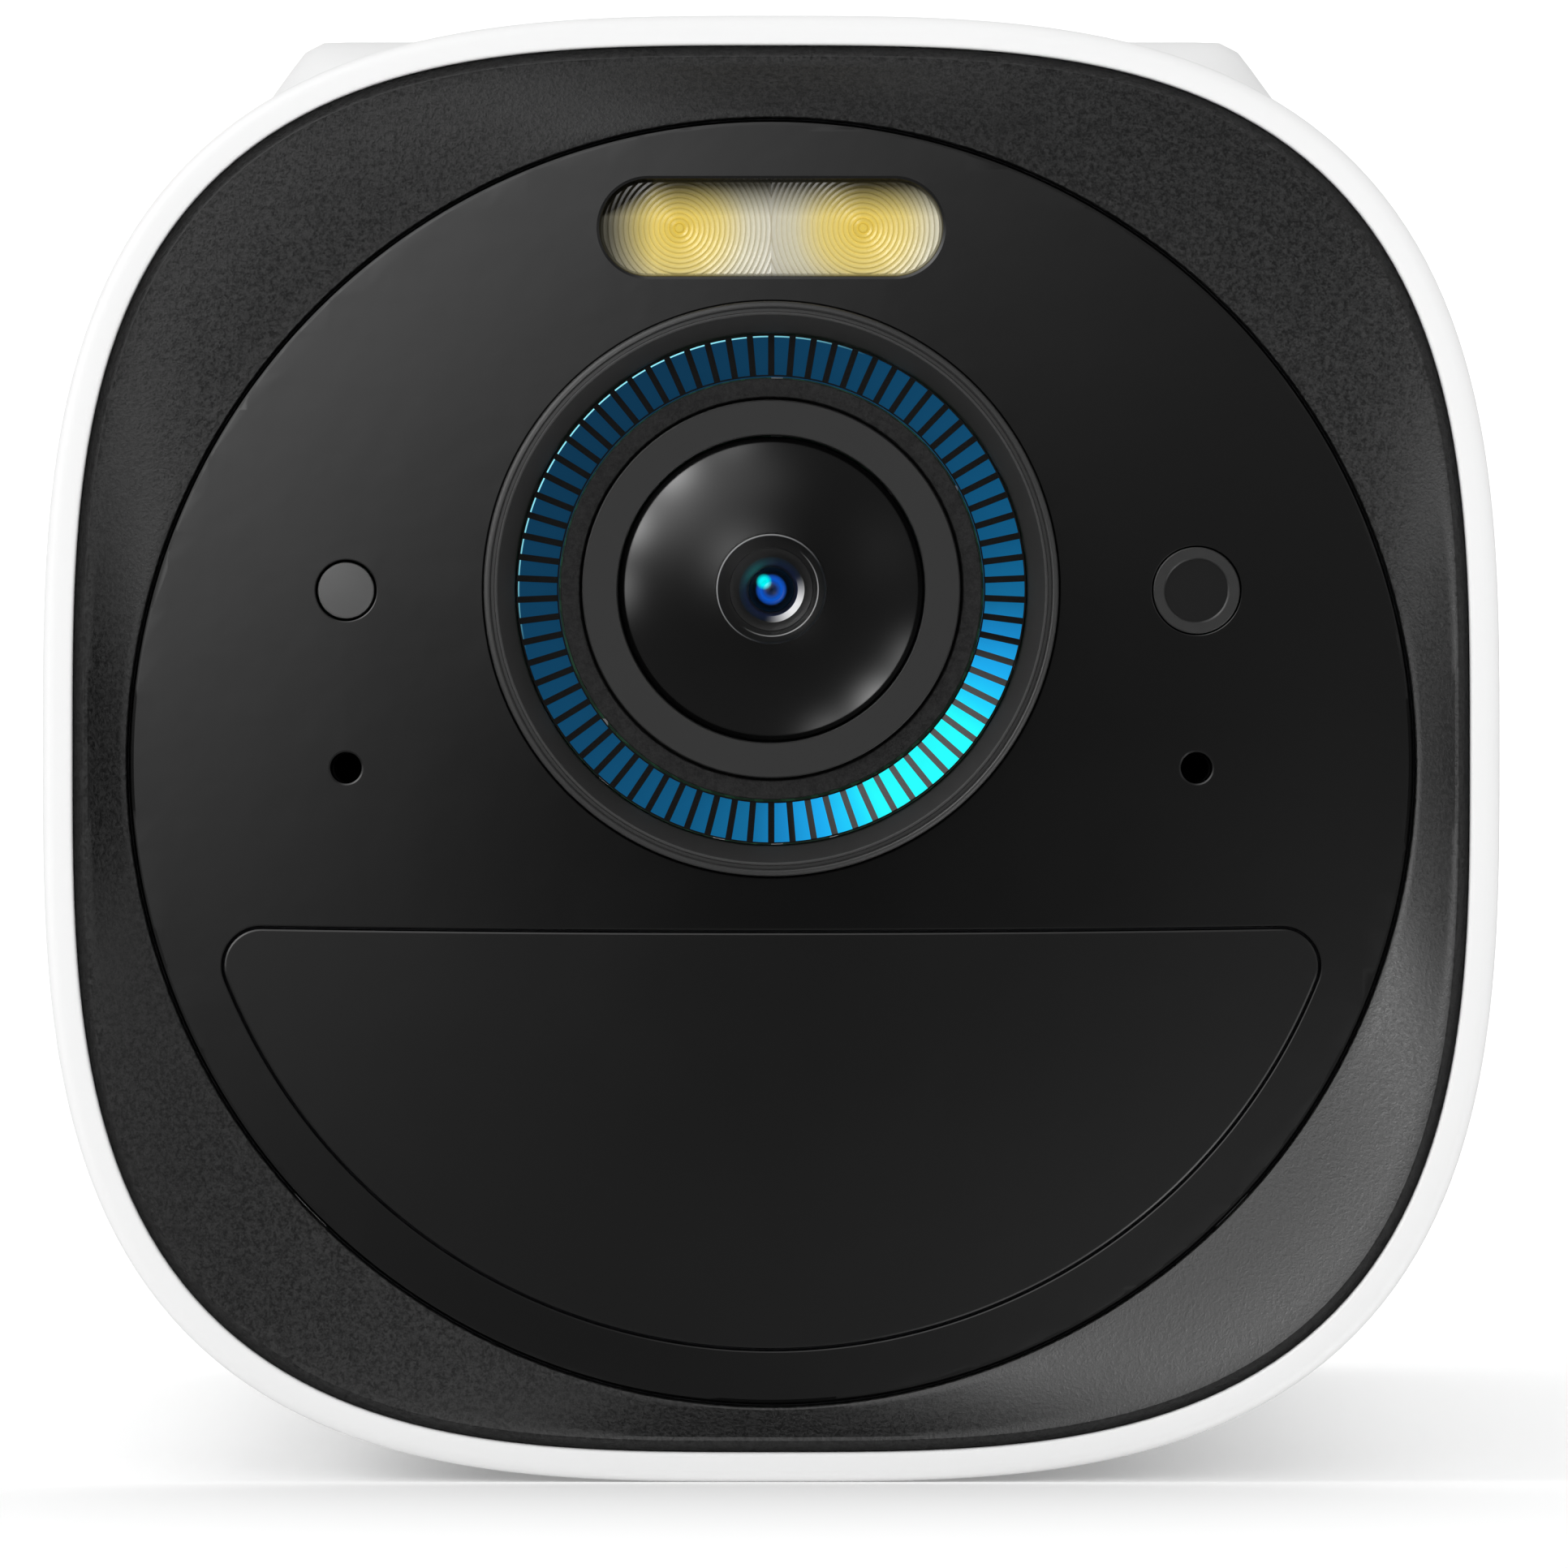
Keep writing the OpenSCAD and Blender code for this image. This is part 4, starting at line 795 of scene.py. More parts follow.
reach = away(x, z).high(0.1)
facing = toward_glow(x, z, reach)
lit = ((facing - 0.8) * 6.0).held() * (reach > light_r0 + 0.05) * (reach < light_r1 - 0.05)
ink = f.shade({"Base Color": f.mix(lit, f.mix(f.noise(4.0), tone(3), tone(9)), tone(84)),
               "Roughness": 0.6, "Specular IOR Level": 0.1})
piece("light_ring_spokes", mask, ink, ["light_ring_mask"])

# %% Grainy ring and grey ring
texture_r1, grey_r1 = span("texture_ring")[1].x, span("ir_window")[1].x
texture_d, texture_back = depths("texture_ring")
grey_d, grey_back = depths("ir_window")
texture_r0, grey_r0, seat_w, seat_t = grey_r1 + 0.12, grey_r1 - 1.5, 0.25, 0.4
profile = [(texture_r0, texture_d + 0.04), (texture_r0 + 0.04, texture_d), (texture_r1 - 0.04, texture_d),
           (texture_r1, texture_d + 0.04), (texture_r1, texture_back), (texture_r0, texture_back),
           (texture_r0, grey_back + seat_t), (grey_r1 - seat_w, grey_back + seat_t),
           (grey_r1 - seat_w, grey_back), (texture_r0, grey_back)]
piece("grainy_ring", turned(bmesh.new(), profile, z=lens_z, steps=200), finishes["texture_black"],
      ["texture_ring"])
profile = [(grey_r0, grey_d + 0.05), (grey_r0 + 0.05, grey_d), (grey_r1 - 0.05, grey_d),
           (grey_r1, grey_d + 0.05), (grey_r1, grey_back), (grey_r0, grey_back)]
piece("smooth_grey_ring", turned(bmesh.new(), profile, z=lens_z, steps=200), finishes["infrared_window"],
      ["ir_window"])

# %% [markdown]
# ## Lens
# The front glass is a dome that is blacked out from behind, except for a small clear middle. Through
# it show the stepped stop and a blue-coated lens. The dome's finish is a black gloss whose alpha
# falls to nearly nothing in that clear middle. The lights that a real lens would mirror, a crescent,
# two thin lines and a bright spot, are painted as a glow on the stop and the lens.

# %% Dome
dome_low, dome_high = span("lens_dome")
dome_r, dome_peak, dome_back = dome_high.x, dome_low.y - front_y, dome_high.y - front_y
dome_sag, dome_t, clear_r = 1.85, 1.2, 2.36


def dome_arc(peak, rim_r, sag, count):
    ball = (rim_r ** 2 + sag ** 2) / (2 * sag)
    return [(rim_r * i / count, peak + ball - math.sqrt(ball ** 2 - (rim_r * i / count) ** 2))
            for i in range(count + 1)]


f = Finish("blacked out dome glass")
x, d, z = f.place(0, lens_z)
reach = away(x, z)
solid = ((reach - clear_r) * 12.0 + 0.5).held()
dome_finish = f.shade({
    "Base Color": f.mix(f.noise(0.4), tone(2), tone(5)), "IOR": 1.5, "Specular IOR Level": 0.3,
    "Roughness": 0.16 + f.noise(0.25, 2.0) * 0.04, "Alpha": solid * 0.95 + 0.05})
profile = dome_arc(dome_peak, dome_r, dome_sag, 40)
profile += [(dome_r, dome_back)]
profile += dome_arc(dome_peak + dome_t, dome_r - 0.5, dome_back - dome_peak - dome_t, 24)[::-1]
dome = turned(bmesh.new(), profile, z=lens_z, steps=160, closed=False)
piece("dome_glass", dome, dome_finish, ["lens_dome"])

# %% Stepped stop
stop_low, stop_high = span("lens_stop")
stop_r, stop_back = stop_high.x, stop_high.y - front_y
stop_front = stop_low.y - front_y
stop = [(2.31, stop_front + 0.05), (2.33, stop_front), (2.46, stop_front), (2.5, stop_front + 0.04),
        (stop_r, dome_back + 0.3), (stop_r, stop_back), (0.97, stop_back), (0.97, stop_back - 1.5),
        (1.1, stop_back - 1.8), (1.36, 3.2), (1.42, 3.12), (1.76, 3.0), (1.8, 2.9), (2.25, 2.6), (2.31, 2.5)]
f = Finish("stop black")
x, d, z = f.place(0, lens_z)
reach = away(x, z)
facing = toward_glow(x, z, reach.high(0.1), 0.2)


def band(r0, r1):
    return (reach > r0) * (reach < r1)


line = band(2.29, 2.35) * (0.3 - facing * 0.6).held() + band(1.98, 2.03) * facing.held()
crescent = (((facing - 0.4) * 1.7).held() ** 2.2) * band(1.14, 1.42)
stop_finish = f.shade({"Base Color": f.mix(f.noise(2.0), tone(26), tone(34)), "Roughness": 0.4,
                       "Emission Color": f.mix((crescent + line * 0.4).held(), tone(5), tone(240)),
                       "Emission Strength": 1.0})
piece("stepped_stop", turned(bmesh.new(), stop, z=lens_z, steps=128), stop_finish, ["lens_stop"])

# %% Blue-coated lens
front_face, rear_r = depths("lens_elements")[0], span("lens_elements")[1].x
f = Finish("blue coated glass")
x, d, z = f.place(0, lens_z)
edge = away(x, z)
spot = away(x + 0.31, z - 0.34)
# The blue rings of the coating are painted as a glow as well: a painted reflection, like the bright spot.
ring_glow = f.ramp(edge, [
    (0.0, tone(4, 14, 22)), (0.2, tone(6, 34, 80)), (0.45, tone(14, 88, 205)), (0.6, tone(12, 64, 150)),
    (0.68, tone(1, 4, 8)), (0.78, tone(1, 4, 8)), (0.88, tone(3, 14, 26))])
lens_glow = f.mix((1.9 - spot * 5.4).held(), ring_glow, tone(0, 252, 255))
blue_glass = f.shade({"Base Color": tone(2, 6, 16), "Roughness": 0.08 + f.noise(0.6) * 0.03,
                      "Emission Color": lens_glow, "Emission Strength": 1.0})
front_r = 0.92
profile = dome_arc(front_face, front_r, 0.35, 12) + [(front_r, stop_back), (0, stop_back)]
lenses = turned(bmesh.new(), profile, z=lens_z, steps=64, closed=False)
rear_face, rear_back = depths("lens_barrel")[1] - 2.9, depths("lens_elements")[1]
profile = dome_arc(rear_face, rear_r, 0.7, 12) + [(rear_r, rear_back), (0, rear_back)]
turned(lenses, profile, z=lens_z, steps=96, closed=False)
piece("blue_lens", lenses, blue_glass, ["lens_elements"])

# %% [markdown]
# ## Spotlight
# Two lamps shine through one long window. Its front is ribbed with fine circular grooves round each
# lamp that meet in the middle. Each half is a ribbed disc turned about its lamp, cut off at the
# middle, and then trimmed to the rounded outline. The lamps behind it are warm yellow and glow
# faintly. Painted shade darkens the window at its left end and along its top, where its recess
# would shadow it.

# %% Adding one shape to another
def joined(bm, other):
    mesh = bpy.data.meshes.new("joined")
    other.to_mesh(mesh)
    other.free()
    bm.from_mesh(mesh)
    bpy.data.meshes.remove(mesh)
    return bm


# %% Ribbed window
spot_d = depths("spotlight_lens")[0]
rib_w, rib_h, rib_count, rib_back = 0.22, 0.1, 38, carrier_d + 0.4
ribs = bmesh.new()
for side in (-1, 1):
    half = bmesh.new()
    profile = []
    for i in range(rib_count):
        profile += [(rib_w * i, spot_d + (rib_h if i else 0)), (rib_w * (i + 0.75), spot_d)]
    profile += [(profile[-1][0], rib_back), (0, rib_back)]
    turned(half, profile, side * lamp_x, spot_z, 120, closed=False)
    bmesh.ops.remove_doubles(half, verts=half.verts, dist=0.0005)
    bmesh.ops.bisect_plane(half, geom=half.verts[:] + half.edges[:] + half.faces[:], dist=1e-5,
                           plane_co=(side * 0.001, 0, 0), plane_no=(-side, 0, 0), clear_outer=True)
    bmesh.ops.holes_fill(half, edges=[e for e in half.edges if e.is_boundary], sides=0)
    trim = plug(bmesh.new(), stadium_loop(spot_w, spot_h), [(0.1, 0), (0.1, carrier_d + 2)], 0, spot_z)
    joined(ribs, carve(half, trim, "INTERSECT"))
plug(ribs, stadium_loop(spot_w + spot_flange, spot_h + spot_flange),
     [(0, carrier_d + 0.01), (0, carrier_d + 0.8)], 0, spot_z)
print("faces in the ribbed window:", len(ribs.faces))

# %% Its finish
f = Finish("ribbed lamp window")
x, d, z = f.place(0, spot_z)
off = x.size() - lamp_x
reach = away(off, z)
rib = (reach / rib_w).part()
warm = f.ramp(reach * 0.2, [
    (0.0, tone(222, 192, 72)), (0.15, tone(232, 208, 108)), (0.36, tone(226, 208, 130)),
    (0.6, tone(210, 206, 182)), (1.0, tone(200, 200, 196))])
# Painted shade: the colour and the glow of the window fall off towards its left end and along its top, as if
# the recess shadowed them.
painted_left_shade = ((-x - 5.0) * 0.5).held()
dim = 1.0 - painted_left_shade * 0.9 - ((z - 0.5) * 0.75).held() * 0.95
lamp_colour = f.mix(rib * 0.3, warm, tone(150, 126, 40))
lamp_finish = f.shade({
    "Base Color": f.mix(dim.held() * 0.7, tone(20, 17, 9), lamp_colour), "IOR": 1.49,
    "Roughness": 0.22 + rib * 0.15, "Emission Strength": 0.32,
    "Emission Color": f.mix(dim.held(), tone(20, 18, 8), lamp_colour)})
piece("ribbed_lamp_window", ribs, lamp_finish, ["spotlight_lens"], sharp=25)

# %% [markdown]
# ## Small sensors
# The light sensor is a grey disc, and the status light is a soft grey ring round a darker, slightly
# sunken core. Both sit almost flush with the panel.

# %% Light sensor and status light
sensor_front, sensor_back = depths("light_sensor_window")
profile = [(0, sensor_front), (1.1, sensor_front), (1.17, sensor_front + 0.02), (1.2, sensor_front + 0.08),
           (1.2, sensor_back), (0, sensor_back)]
disc_finish = gloss_black("grey sensor disc", 72, 0.5, 0.001, 0.03)
piece("sensor_disc", turned(bmesh.new(), profile, sensor.x, sensor.z, 64, closed=False),
      disc_finish, ["light_sensor_window"])
status_front, status_back = depths("status_ring")
core_r = 1.37
profile = [(0, status_front + 0.12), (1.33, status_front + 0.12), (core_r, status_front + 0.09),
           (core_r, status_front + 0.03), (1.41, status_front), (1.8, status_front),
           (1.84, status_front + 0.03), (1.85, status_front + 0.08), (1.85, status_back), (0, status_back)]
f = Finish("soft grey status light")
x, d, z = f.place(status.x, status.z)
core = away(x, z) < core_r
status_finish = f.shade({"Base Color": f.mix(core, f.mix(f.noise(2.0), tone(32), tone(40)), tone(4)),
                         "Roughness": 0.5 - core * 0.18, "Specular IOR Level": 0.3})
piece("status_light", turned(bmesh.new(), profile, status.x, status.z, 96, closed=False),
      status_finish, ["status_ring"])

# %% [markdown]
# ## Solar deck
# A thin glass sheet lies over the cells in a pale sealed edge. The glass is nearly clear, so it is a
# dark tint with a low alpha, and the silver lines of the cells show through.

# %% Solar glass, edge and cells
glass_low, glass_high = span("solar_glass")
glass = block(bmesh.new(), (glass_low.x, glass_low.y - front_y, glass_low.z),
              (glass_high.x, glass_high.y - front_y, glass_high.z), 0.12)
f = Finish("clear solar glass")
f.place()
glass_finish = f.shade({
    "Base Color": f.mix(f.noise(0.1), tone(14, 16, 26), tone(20, 22, 32)), "IOR": 1.5,
    "Roughness": 0.06 + f.noise(0.2, 3.0) * 0.05, "Alpha": 0.38 + f.noise(0.15) * 0.05})
piece("solar_glass_sheet", glass, glass_finish, ["solar_glass"])
seal = plug(bmesh.new(), box_loop(2 * seal_high.x, seal_high.y - seal_low.y, 0.3),
            [(0, seal_low.z), (0, seal_high.z - 0.1), (0.03, seal_high.z - 0.03), (0.1, seal_high.z)])
inner = plug(bmesh.new(), box_loop(2 * glass_high.x, glass_high.y - glass_low.y, 0.1),
             [(0, seal_low.z - 1), (0, seal_high.z - 0.05), (-0.05, seal_high.z), (-0.05, seal_high.z + 1)])
seal = carve(seal, inner)
bmesh.ops.rotate(seal, cent=(0, 0, 0), matrix=Matrix.Rotation(math.radians(90), 3, "X"), verts=seal.verts)
for v in seal.verts:
    v.co.z = abs(v.co.z)
bmesh.ops.translate(seal, vec=(0, middle("solar_seal").y - front_y, 0), verts=seal.verts)
piece("solar_edge", seal, finishes["solar_edge_seal"], ["solar_seal"])

# %% [markdown]
# The cells lie in two columns of six. Thin silver fingers cross each one and wider bars collect
# their current, with a dark gap between one cell and the next.

# %% Cell pattern
f = Finish("solar cells")
x, d, z = f.place()
cells_d0, cells_d1 = depths("solar_cells")
row = (cells_d1 - cells_d0) / 6
fingers = ((d * 1.25).part() < 0.07)
bars = (((x + 18.0) / 9.0 + 0.5).part() - 0.5).size() < 0.03
cell_gap = ((((d - cells_d0) / row).part() - 0.5).size() > 0.475).high(x.size() < 0.4)
blue = f.mix(f.noise(0.5), tone(12, 16, 36), tone(22, 30, 60))
lines = fingers.high(bars)
finishes["solar_silicon"] = f.shade({
    "Base Color": f.mix(cell_gap, f.mix(lines * 0.8, blue, tone(176, 180, 188)), tone(10, 11, 14)),
    "Metallic": lines * (1 - cell_gap) * 0.8, "Roughness": 0.35 - lines * 0.05,
    "Normal": f.bump(lines * (1 - cell_gap), 0.02)})
frame["nodes"]["solar_cells"].data.materials[0] = finishes["solar_silicon"]

# %% [markdown]
# Behind each pinhole in the panel a microphone looks out through its own black mesh. The metal can is
# finished like the other cans, with a black spot where the mesh is.

# %% Microphone mesh
f = Finish("microphone can with mesh")
x, d, z = f.place(0, mic_z)
off = x.size() - status.x
mesh_spot = away(off, z) < 0.8
mic_finish = f.shade({
    "Base Color": f.mix(mesh_spot, f.mix(f.noise(2.0), tone(178), tone(196)), tone(1)),
    "Metallic": 1 - mesh_spot, "Roughness": 0.35 + mesh_spot * 0.6, "Specular IOR Level": 0.1})
frame["nodes"]["microphones"].data.materials[0] = mic_finish

# %% [markdown]
# ## Rear cover
# The rear cover is a deep cup with a rounded back edge. Its lip slips inside the shell. The cup is
# lofted like the shell, with a groove for the gasket where it meets it. Then its openings are cut:
# the seat of the threaded insert, the hole for the sync button, and the charge port with the recess
# for its flap. A short sleeve leads from the port to the socket.

# %% Cup
cover_round, lip_len, lip_t, rear_wall, cover_back = 9.0, 3.5, 1.45, 2.2, 2.6
rear_floor = body_len - cover_back


def back_ring(t, r, start, back):
    return ring(back - r + r * math.sin(t), start + r * (1 - math.cos(t)))


inner_round, lip_out, lip_d = cover_round - rear_wall, wall + 0.1, shell_len - lip_len
groove_in, groove_out, groove_d = 1.65, 0.75, shell_len + 0.7
cup_rings = [back_ring(math.radians(t), inner_round, rear_wall, rear_floor) for t in (80, 60, 40, 20, 0)]
cup_rings += [ring(shell_len + 1.2, rear_wall), ring(shell_len, lip_out + lip_t),
              ring(lip_d, lip_out + lip_t), ring(lip_d, lip_out + 0.15), ring(lip_d + 0.15, lip_out),
              ring(shell_len, lip_out), ring(shell_len, groove_in), ring(groove_d, groove_in),
              ring(groove_d, groove_out), ring(shell_len, groove_out),
              ring(shell_len, 0.2), ring(shell_len + 0.05, 0.06), ring(shell_len + 0.2, 0)]
cup_rings += [back_ring(math.radians(t), cover_round, 0, body_len) for t in range(0, 91, 6)]
cup = loft(bmesh.new(), cup_rings)

# %% Openings in the cup
button = middle("sync_button")
insert = middle("mount_insert")
flap_low, flap_high = span("port_cover")
port_z = middle("usb_socket").z
port_loop, sleeve_loop = box_loop(12.8, 7.0, 0.8, 14), box_loop(14.8, 9.0, 1.8, 14)
recess_low, recess_high, recess_d = port_z - 7.0, port_z + 4.8, body_len - 1.9
cutter = bmesh.new()
profile = [(4.15, rear_floor - 2), (4.15, body_len - 0.2), (4.2, body_len - 0.08), (4.35, body_len),
           (4.35, body_len + 1)]
turned(cutter, [(0, rear_floor - 2)] + profile + [(0, body_len + 1)], 0, button.z, 96, closed=False)
profile = [(5.55, rear_floor - 3), (5.55, body_len - 1.2), (7.05, body_len - 1.2), (7.05, body_len - 0.15),
           (7.2, body_len), (7.2, body_len + 1)]
turned(cutter, [(0, rear_floor - 3)] + profile + [(0, body_len + 1)], 0, insert.z, 128, closed=False)
cup = carve(cup, cutter)
cutter = plug(bmesh.new(), box_loop(17.0, recess_high - recess_low, 0.4),
              [(0, recess_d), (0, body_len - 0.15), (-0.15, body_len), (-0.15, body_len + 1)],
              0, (recess_low + recess_high) / 2)
cup = carve(cup, cutter)
cutter = plug(bmesh.new(), port_loop, [(0, rear_floor - 4), (0, recess_d - 0.15), (-0.15, recess_d),
                                       (-0.15, recess_d + 0.1)], 0, port_z)
cup = carve(cup, cutter)
port_front = body_len - 12.8
sleeve = plug(bmesh.new(), sleeve_loop, [(0, port_front), (0, rear_floor + 0.1)], 0, port_z)
sleeve_hole = plug(bmesh.new(), port_loop, [(0, port_front - 1), (0, rear_floor + 1)], 0, port_z)
joined(cup, carve(sleeve, sleeve_hole))
piece("rear_cup", cup, finishes["white_shell"], ["rear_cover"])

# %% [markdown]
# ## Things on the rear
# The sync button is a dished cap on a short stem. The port flap turns on a pin along its lower edge,
# and a ridge on its inside seals the port. The insert is turned brass with a real thread in its bore:
# a small triangle carried round and along a screw line.

# %% Sync button
stem_d, cap_d = depths("sync_button")
flange_r, flange_d, stem_r = span("sync_button")[1].x, rear_floor - 0.2, 1.5
profile = [(0, cap_d - 0.25), (1.4, cap_d - 0.21), (2.6, cap_d - 0.1), (3.2, cap_d - 0.02), (3.5, cap_d),
           (3.8, cap_d - 0.04), (3.95, cap_d - 0.14), (4.0, cap_d - 0.3), (4.0, flange_d),
           (flange_r, flange_d), (flange_r, flange_d - 1.2), (stem_r, flange_d - 1.2),
           (stem_r, stem_d), (0, stem_d)]
button_finish = moulded("pale grey button", tone(214, 216, 218), 0.5, 0.03, 8.0, 0.004)
piece("button_cap", turned(bmesh.new(), profile, 0, button.z, 96, closed=False), button_finish,
      ["sync_button"], "sync_button_body")

# %% Port flap
hinge_r = 0.7
flap_d1 = flap_high.y - front_y
flap_d0 = flap_d1 - 2 * hinge_r
flap_half = 8.4
hinge = Vector((0, flap_d1 - hinge_r, flap_low.z + hinge_r))
flap = plug(bmesh.new(), box_loop(2 * flap_half, flap_high.z - hinge.z, 0.35),
            [(0.12, flap_d0), (0, flap_d0 + 0.12), (0, flap_d1 - 0.2), (0.05, flap_d1 - 0.07),
             (0.2, flap_d1)], 0, (flap_high.z + hinge.z) / 2)
cutter = bmesh.new()
scoop = bmesh.ops.create_uvsphere(cutter, u_segments=48, v_segments=24, radius=3.4)["verts"]
bmesh.ops.translate(cutter, vec=(0, flap_d1 + 2.9, flap_high.z - 1.2), verts=scoop)
flap = carve(flap, cutter)
rod(flap, (-flap_half, hinge.y, hinge.z), (flap_half, hinge.y, hinge.z), hinge_r, 40)
rod(flap, (flap_low.x, hinge.y, hinge.z), (flap_high.x, hinge.y, hinge.z), 0.4, 32)
plug(flap, box_loop(11.8, 5.8, 0.6),
     [(0.15, flap_d0 - 0.6), (0, flap_d0 - 0.45), (0, flap_d0 + 0.3)], 0, port_z - 0.1)
flap_finish = moulded("soft white flap", tone(226, 227, 228), 0.6, 0.02, 9.0, 0.004)
piece("port_flap_cap", flap, flap_finish, ["port_cover"], "port_flap")

# %% Threaded insert
thread_r, thread_len, thread_pitch, tooth = 2.55, 8.0, 1.27, 0.32
insert_r, flange_r, insert_d = 5.5, 7.0, depths("mount_insert")[0]
profile = [(0, body_len - thread_len), (thread_r, body_len - thread_len), (thread_r, body_len - 0.4),
           (thread_r + 0.4, body_len), (flange_r - 0.2, body_len), (flange_r, body_len - 0.2),
           (flange_r, body_len - 1.2), (insert_r, body_len - 1.2), (insert_r, insert_d), (0, insert_d)]
brass = turned(bmesh.new(), profile, 0, insert.z, 128, closed=False)
turns, per_turn = (thread_len - 1.6) / thread_pitch, 48
start = body_len - thread_len + 0.4
corners = [brass.verts.new((thread_r + dr, start + dd, insert.z)) for dr, dd in
           ((0.06, -0.3), (-tooth, 0.0), (0.06, 0.3))]
edges = [brass.edges.new(pair) for pair in zip(corners, corners[1:] + corners[:1])]
steps = int(turns * per_turn)
bmesh.ops.contextual_create(brass, geom=edges)
made = bmesh.ops.spin(brass, geom=corners + edges, cent=(0, 0, insert.z), axis=(0, 1, 0),
                      dvec=(0, thread_pitch / per_turn, 0), angle=2 * math.pi * steps / per_turn,
                      steps=steps, use_merge=False, use_duplicate=False)
last = [g for g in made["geom_last"] if isinstance(g, bmesh.types.BMEdge)]
bmesh.ops.contextual_create(brass, geom=last)
brass_finish = metal("turned brass", tone(214, 172, 96), 0.26, (1.0, 12.0, 1.0), 0.16)
piece("brass_insert", brass, brass_finish, ["mount_insert"])

# %% Charge socket
socket_low, socket_high = span("usb_socket")
d0, d1 = depths("usb_socket")
w, h = 2 * socket_high.x, socket_high.z - socket_low.z
can = plug(bmesh.new(), stadium_loop(w, h, 20), [(0, d0), (0, d1 - 0.08), (0.08, d1)], 0, port_z)
bore = plug(bmesh.new(), stadium_loop(w - 0.6, h - 0.6, 20),
            [(0, d0 + 0.8), (0, d1 - 0.08), (-0.1, d1 + 0.01), (-0.1, d1 + 1)], 0, port_z)
can = carve(can, bore)
block(can, (-3.3, d0 + 0.5, port_z - 0.35), (3.3, d1 - 0.6, port_z + 0.35), 0.1)
f = Finish("plated socket with contacts")
x, d, z = f.place(0, port_z)
tongue = (z.size() < 0.38) * (x.size() < 3.35) * (d > d0 + 0.9)
contacts = tongue * ((x * 2.0).part() < 0.5) * (d > d1 - 4.0) * (d < d1 - 1.0)
socket_finish = f.shade({
    "Base Color": f.mix(contacts, f.mix(tongue, tone(186, 188, 192), tone(26)), tone(214, 176, 92)),
    "Metallic": (1 - tongue).high(contacts), "Roughness": 0.3 + f.noise(3.0) * 0.1})
piece("charge_socket", can, socket_finish, ["usb_socket"])

# %% [markdown]
# ## Floor, light and camera
# The security camera stands on a pale floor that curves up behind it, so there is no horizon from the
# front. White light comes evenly from all round. Four softboxes add to it: one overhead, one in
# front, one on the backdrop, and a small one at the left that pulls the shadow to the right. The
# sizes here are in metres.

# %% Floor
floor_half, curve_d, curve_r, steps = 6.0, 1.2, 1.2, 24
floor = bmesh.new()
profile = [floor.verts.new((-floor_half, y, 0.0)) for y in (-floor_half, curve_d)]
for i in range(1, steps + 1):
    a = math.pi / 2 * i / steps
    profile.append(floor.verts.new((-floor_half, curve_d + curve_r * math.sin(a),
                                    curve_r * (1 - math.cos(a)))))
profile.append(floor.verts.new((-floor_half, curve_d + curve_r, 6.0)))
edges = [floor.edges.new(pair) for pair in zip(profile, profile[1:])]
wide = bmesh.ops.extrude_edge_only(floor, edges=edges)["geom"]
wide = [g for g in wide if isinstance(g, bmesh.types.BMVert)]
bmesh.ops.translate(floor, vec=(2 * floor_half, 0, 0), verts=wide)
bmesh.ops.recalc_face_normals(floor, faces=floor.faces)
for face in floor.faces:
    face.smooth = True
mesh = bpy.data.meshes.new("pale_floor")
floor.to_mesh(mesh)
floor.free()
floor = bpy.data.objects.new("pale_floor", mesh)
floor.visible_glossy = False
bpy.context.scene.collection.objects.link(floor)
f = Finish("pale floor")
f.place()
mesh.materials.append(f.shade({
    "Base Color": f.mix(f.noise(0.01), tone(250), tone(252)), "Roughness": 0.7,
    "Specular IOR Level": 0.0, "Emission Color": tone(255), "Emission Strength": 0.1}))
print("floor faces:", len(mesh.polygons))


# %% Lights
def softbox(name, place, aim, size, watts):
    light = bpy.data.lights.new(name, "AREA")
    light.shape, light.size, light.size_y = "RECTANGLE", *size
    light.energy = watts
    obj = bpy.data.objects.new(name, light)
    obj.location = place
    obj.rotation_euler = (Vector(aim) - Vector(place)).to_track_quat("-Z", "Y").to_euler()
    obj.visible_glossy = False
    bpy.context.scene.collection.objects.link(obj)
    return obj


heart = (0, -0.02, 0.03)
softbox("overhead", (0.0, 0.3, 1.4), heart, (1.6, 1.6), 3.5)
softbox("front", (0.0, -1.6, 0.3), heart, (1.4, 0.6), 7)
softbox("backdrop", (0.0, 0.9, 1.6), (0, 2.4, 0.6), (1.6, 0.4), 10)
softbox("left", (-0.95, -0.25, 0.6), heart, (0.5, 0.5), 2.0)
print("softboxes:", len(bpy.data.lights))

# %% [markdown]
# Polished black shows only what it mirrors, so mirrors are given a sky of their own: the floor and
# the softboxes are hidden from them, and a Light Path node tells their rays from the others. Their
# sky is dim, with soft glows at the upper left, a fainter one at the lower right, a dark middle
# straight ahead and a pale band at right angles to the lens axis. Seven glows further out draw the
# thin bright lines on the bevels. Every other ray meets an even pale white.

# %% Sky
world = bpy.data.worlds.new("studio")
bpy.context.scene.world = world
world.use_nodes = True
sky = Nodes(world.node_tree)
way = sky.node("ShaderNodeTexCoord", output=0)


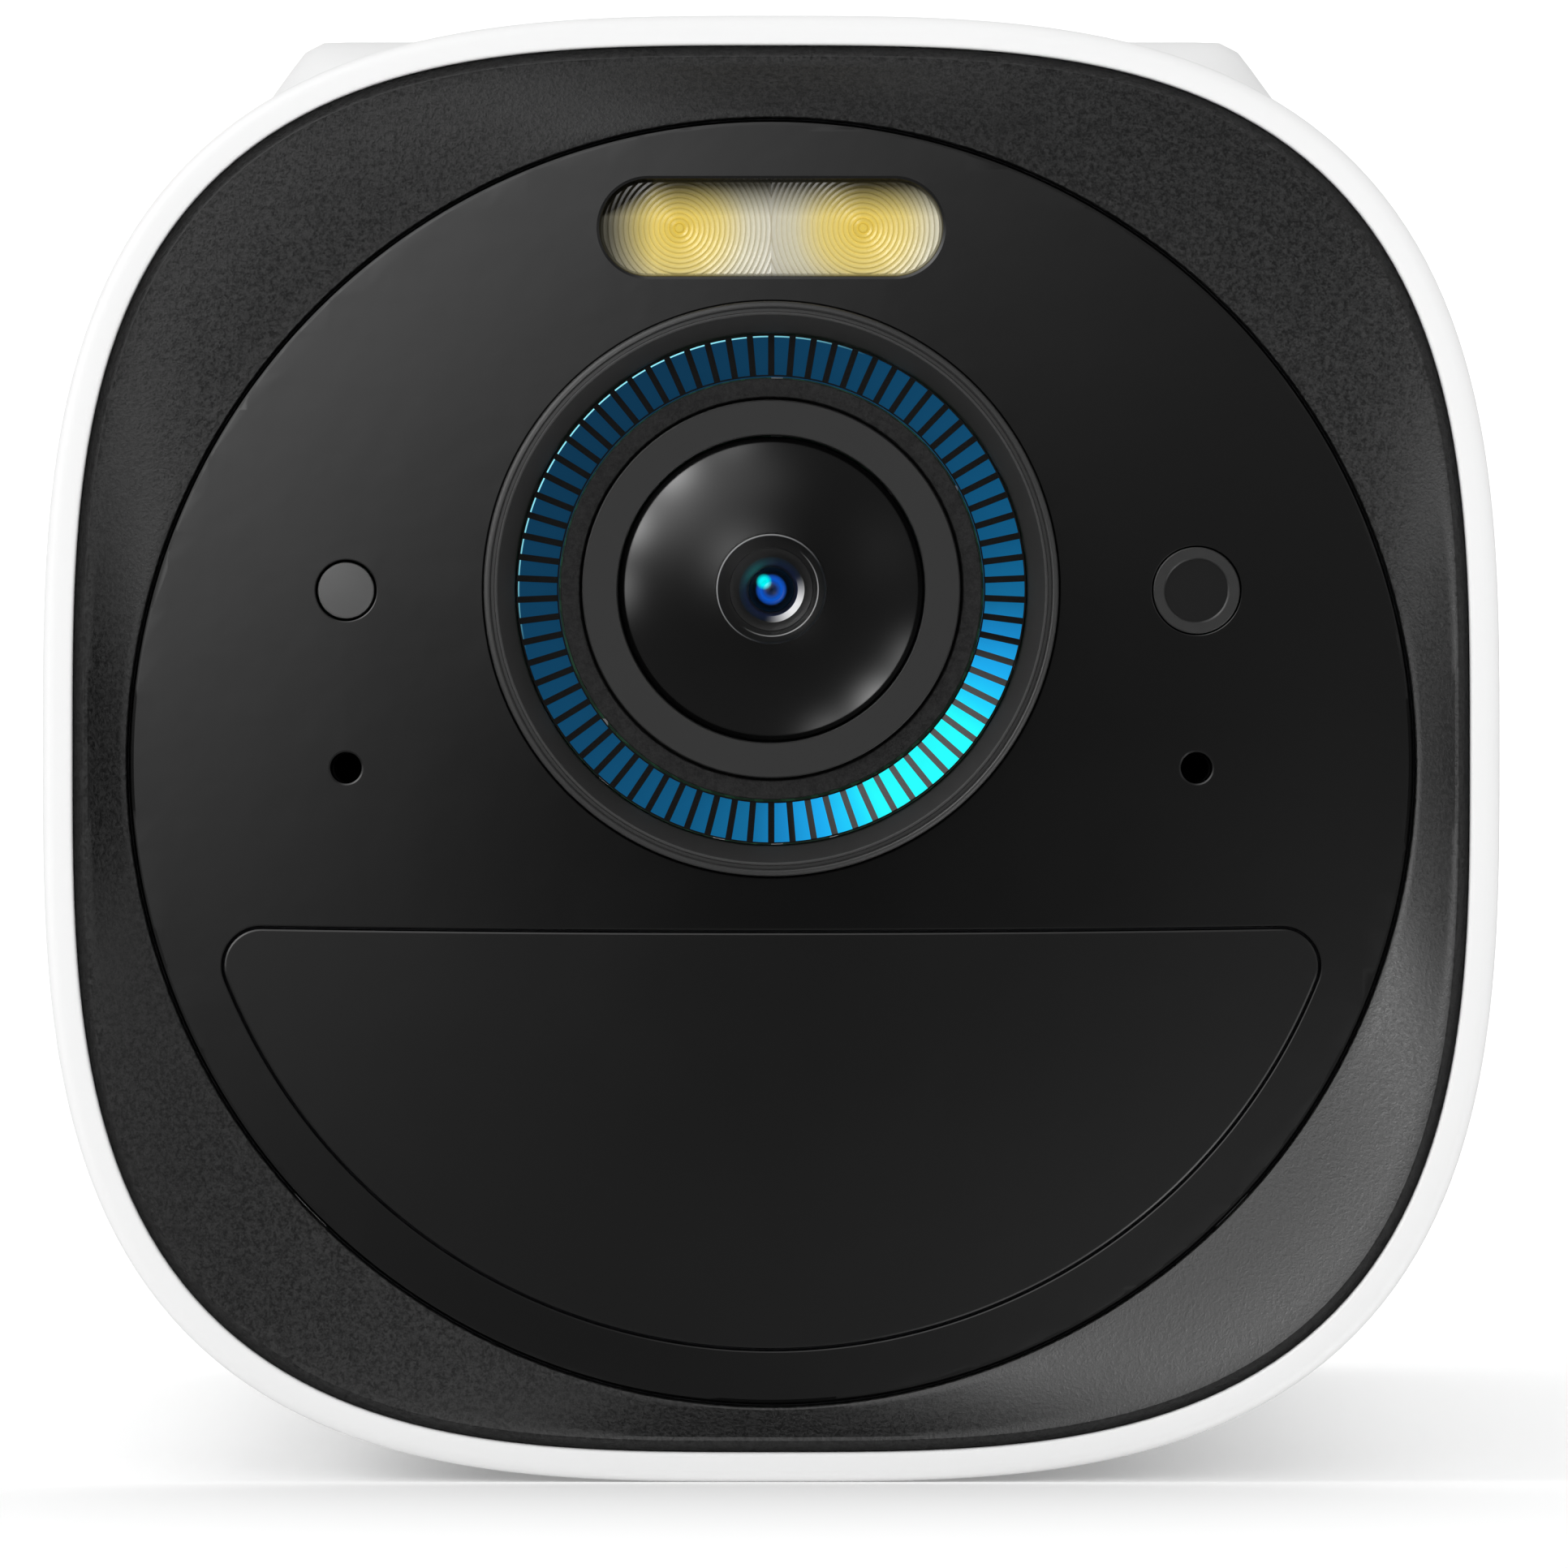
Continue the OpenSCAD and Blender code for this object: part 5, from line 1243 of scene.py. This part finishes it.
def toward(off_axis, turn):
    """How closely a direction points at one that is off the lens axis by an angle, turned round it."""
    a, b = math.radians(off_axis), math.radians(turn)
    aim = (math.sin(a) * math.cos(b), -math.cos(a), math.sin(a) * math.sin(b))
    return sky.node("ShaderNodeVectorMath", {"operation": "DOT_PRODUCT"}, {0: way, 1: aim}, output=1)


def glow(off_axis, turn, wide):
    """A round soft light in the sky, at full strength in its middle."""
    spread = (toward(off_axis, turn) - 1.0) * (2 / math.radians(wide) ** 2)
    return sky.node("ShaderNodeMath", {"operation": "EXPONENT"}, {0: spread})


mirror = 0.22 + glow(20, 134, 13) * 4.3 + glow(15, -45, 8) * 0.8 + (1.0 - glow(0, 0, 30)) * 0.2
mirror = mirror + glow(60, 136, 20) * 5.0 + glow(48, 100, 14) * 1.4 + glow(50, 20, 14) * 0.3
edge_on = sky.node("ShaderNodeMath", {"operation": "EXPONENT"}, {0: toward(0, 0) * toward(0, 0) * -22.0})
mirror = mirror * (1.0 - glow(0, 0, 9) * 0.98) + edge_on * 0.9
bevel_glows = ((105, 4.0), (130, 16.0), (155, 16.0), (178, 8.0), (-26, 6.0), (-46, 17.0), (-68, 6.0))
for turn, level in bevel_glows:
    mirror = mirror + glow(66, turn, 8) * level
glossy = sky.node("ShaderNodeLightPath", output="Is Glossy Ray")
even_light = 0.92
level = glossy * mirror + (1.0 - glossy) * even_light
surface = sky.node("ShaderNodeBackground", inputs={1: level})
sky.node("ShaderNodeOutputWorld", inputs={0: surface})
world.cycles.sampling_method = "NONE"
bpy.context.scene.view_settings.view_transform = "Standard"

# %% [markdown]
# The view is straight from the front through a long lens, so the sides hardly show.

# %% Camera
lens = bpy.data.cameras.new("front_view")
lens.sensor_width, lens.lens = 36, 324
lens.clip_start, lens.clip_end = 0.05, 30
camera = bpy.data.objects.new("front_view", lens)
camera.location = (0.000545, -0.663, 0.0297)
camera.rotation_euler = (math.radians(90), 0, 0)
bpy.context.scene.collection.objects.link(camera)
bpy.context.scene.camera = camera
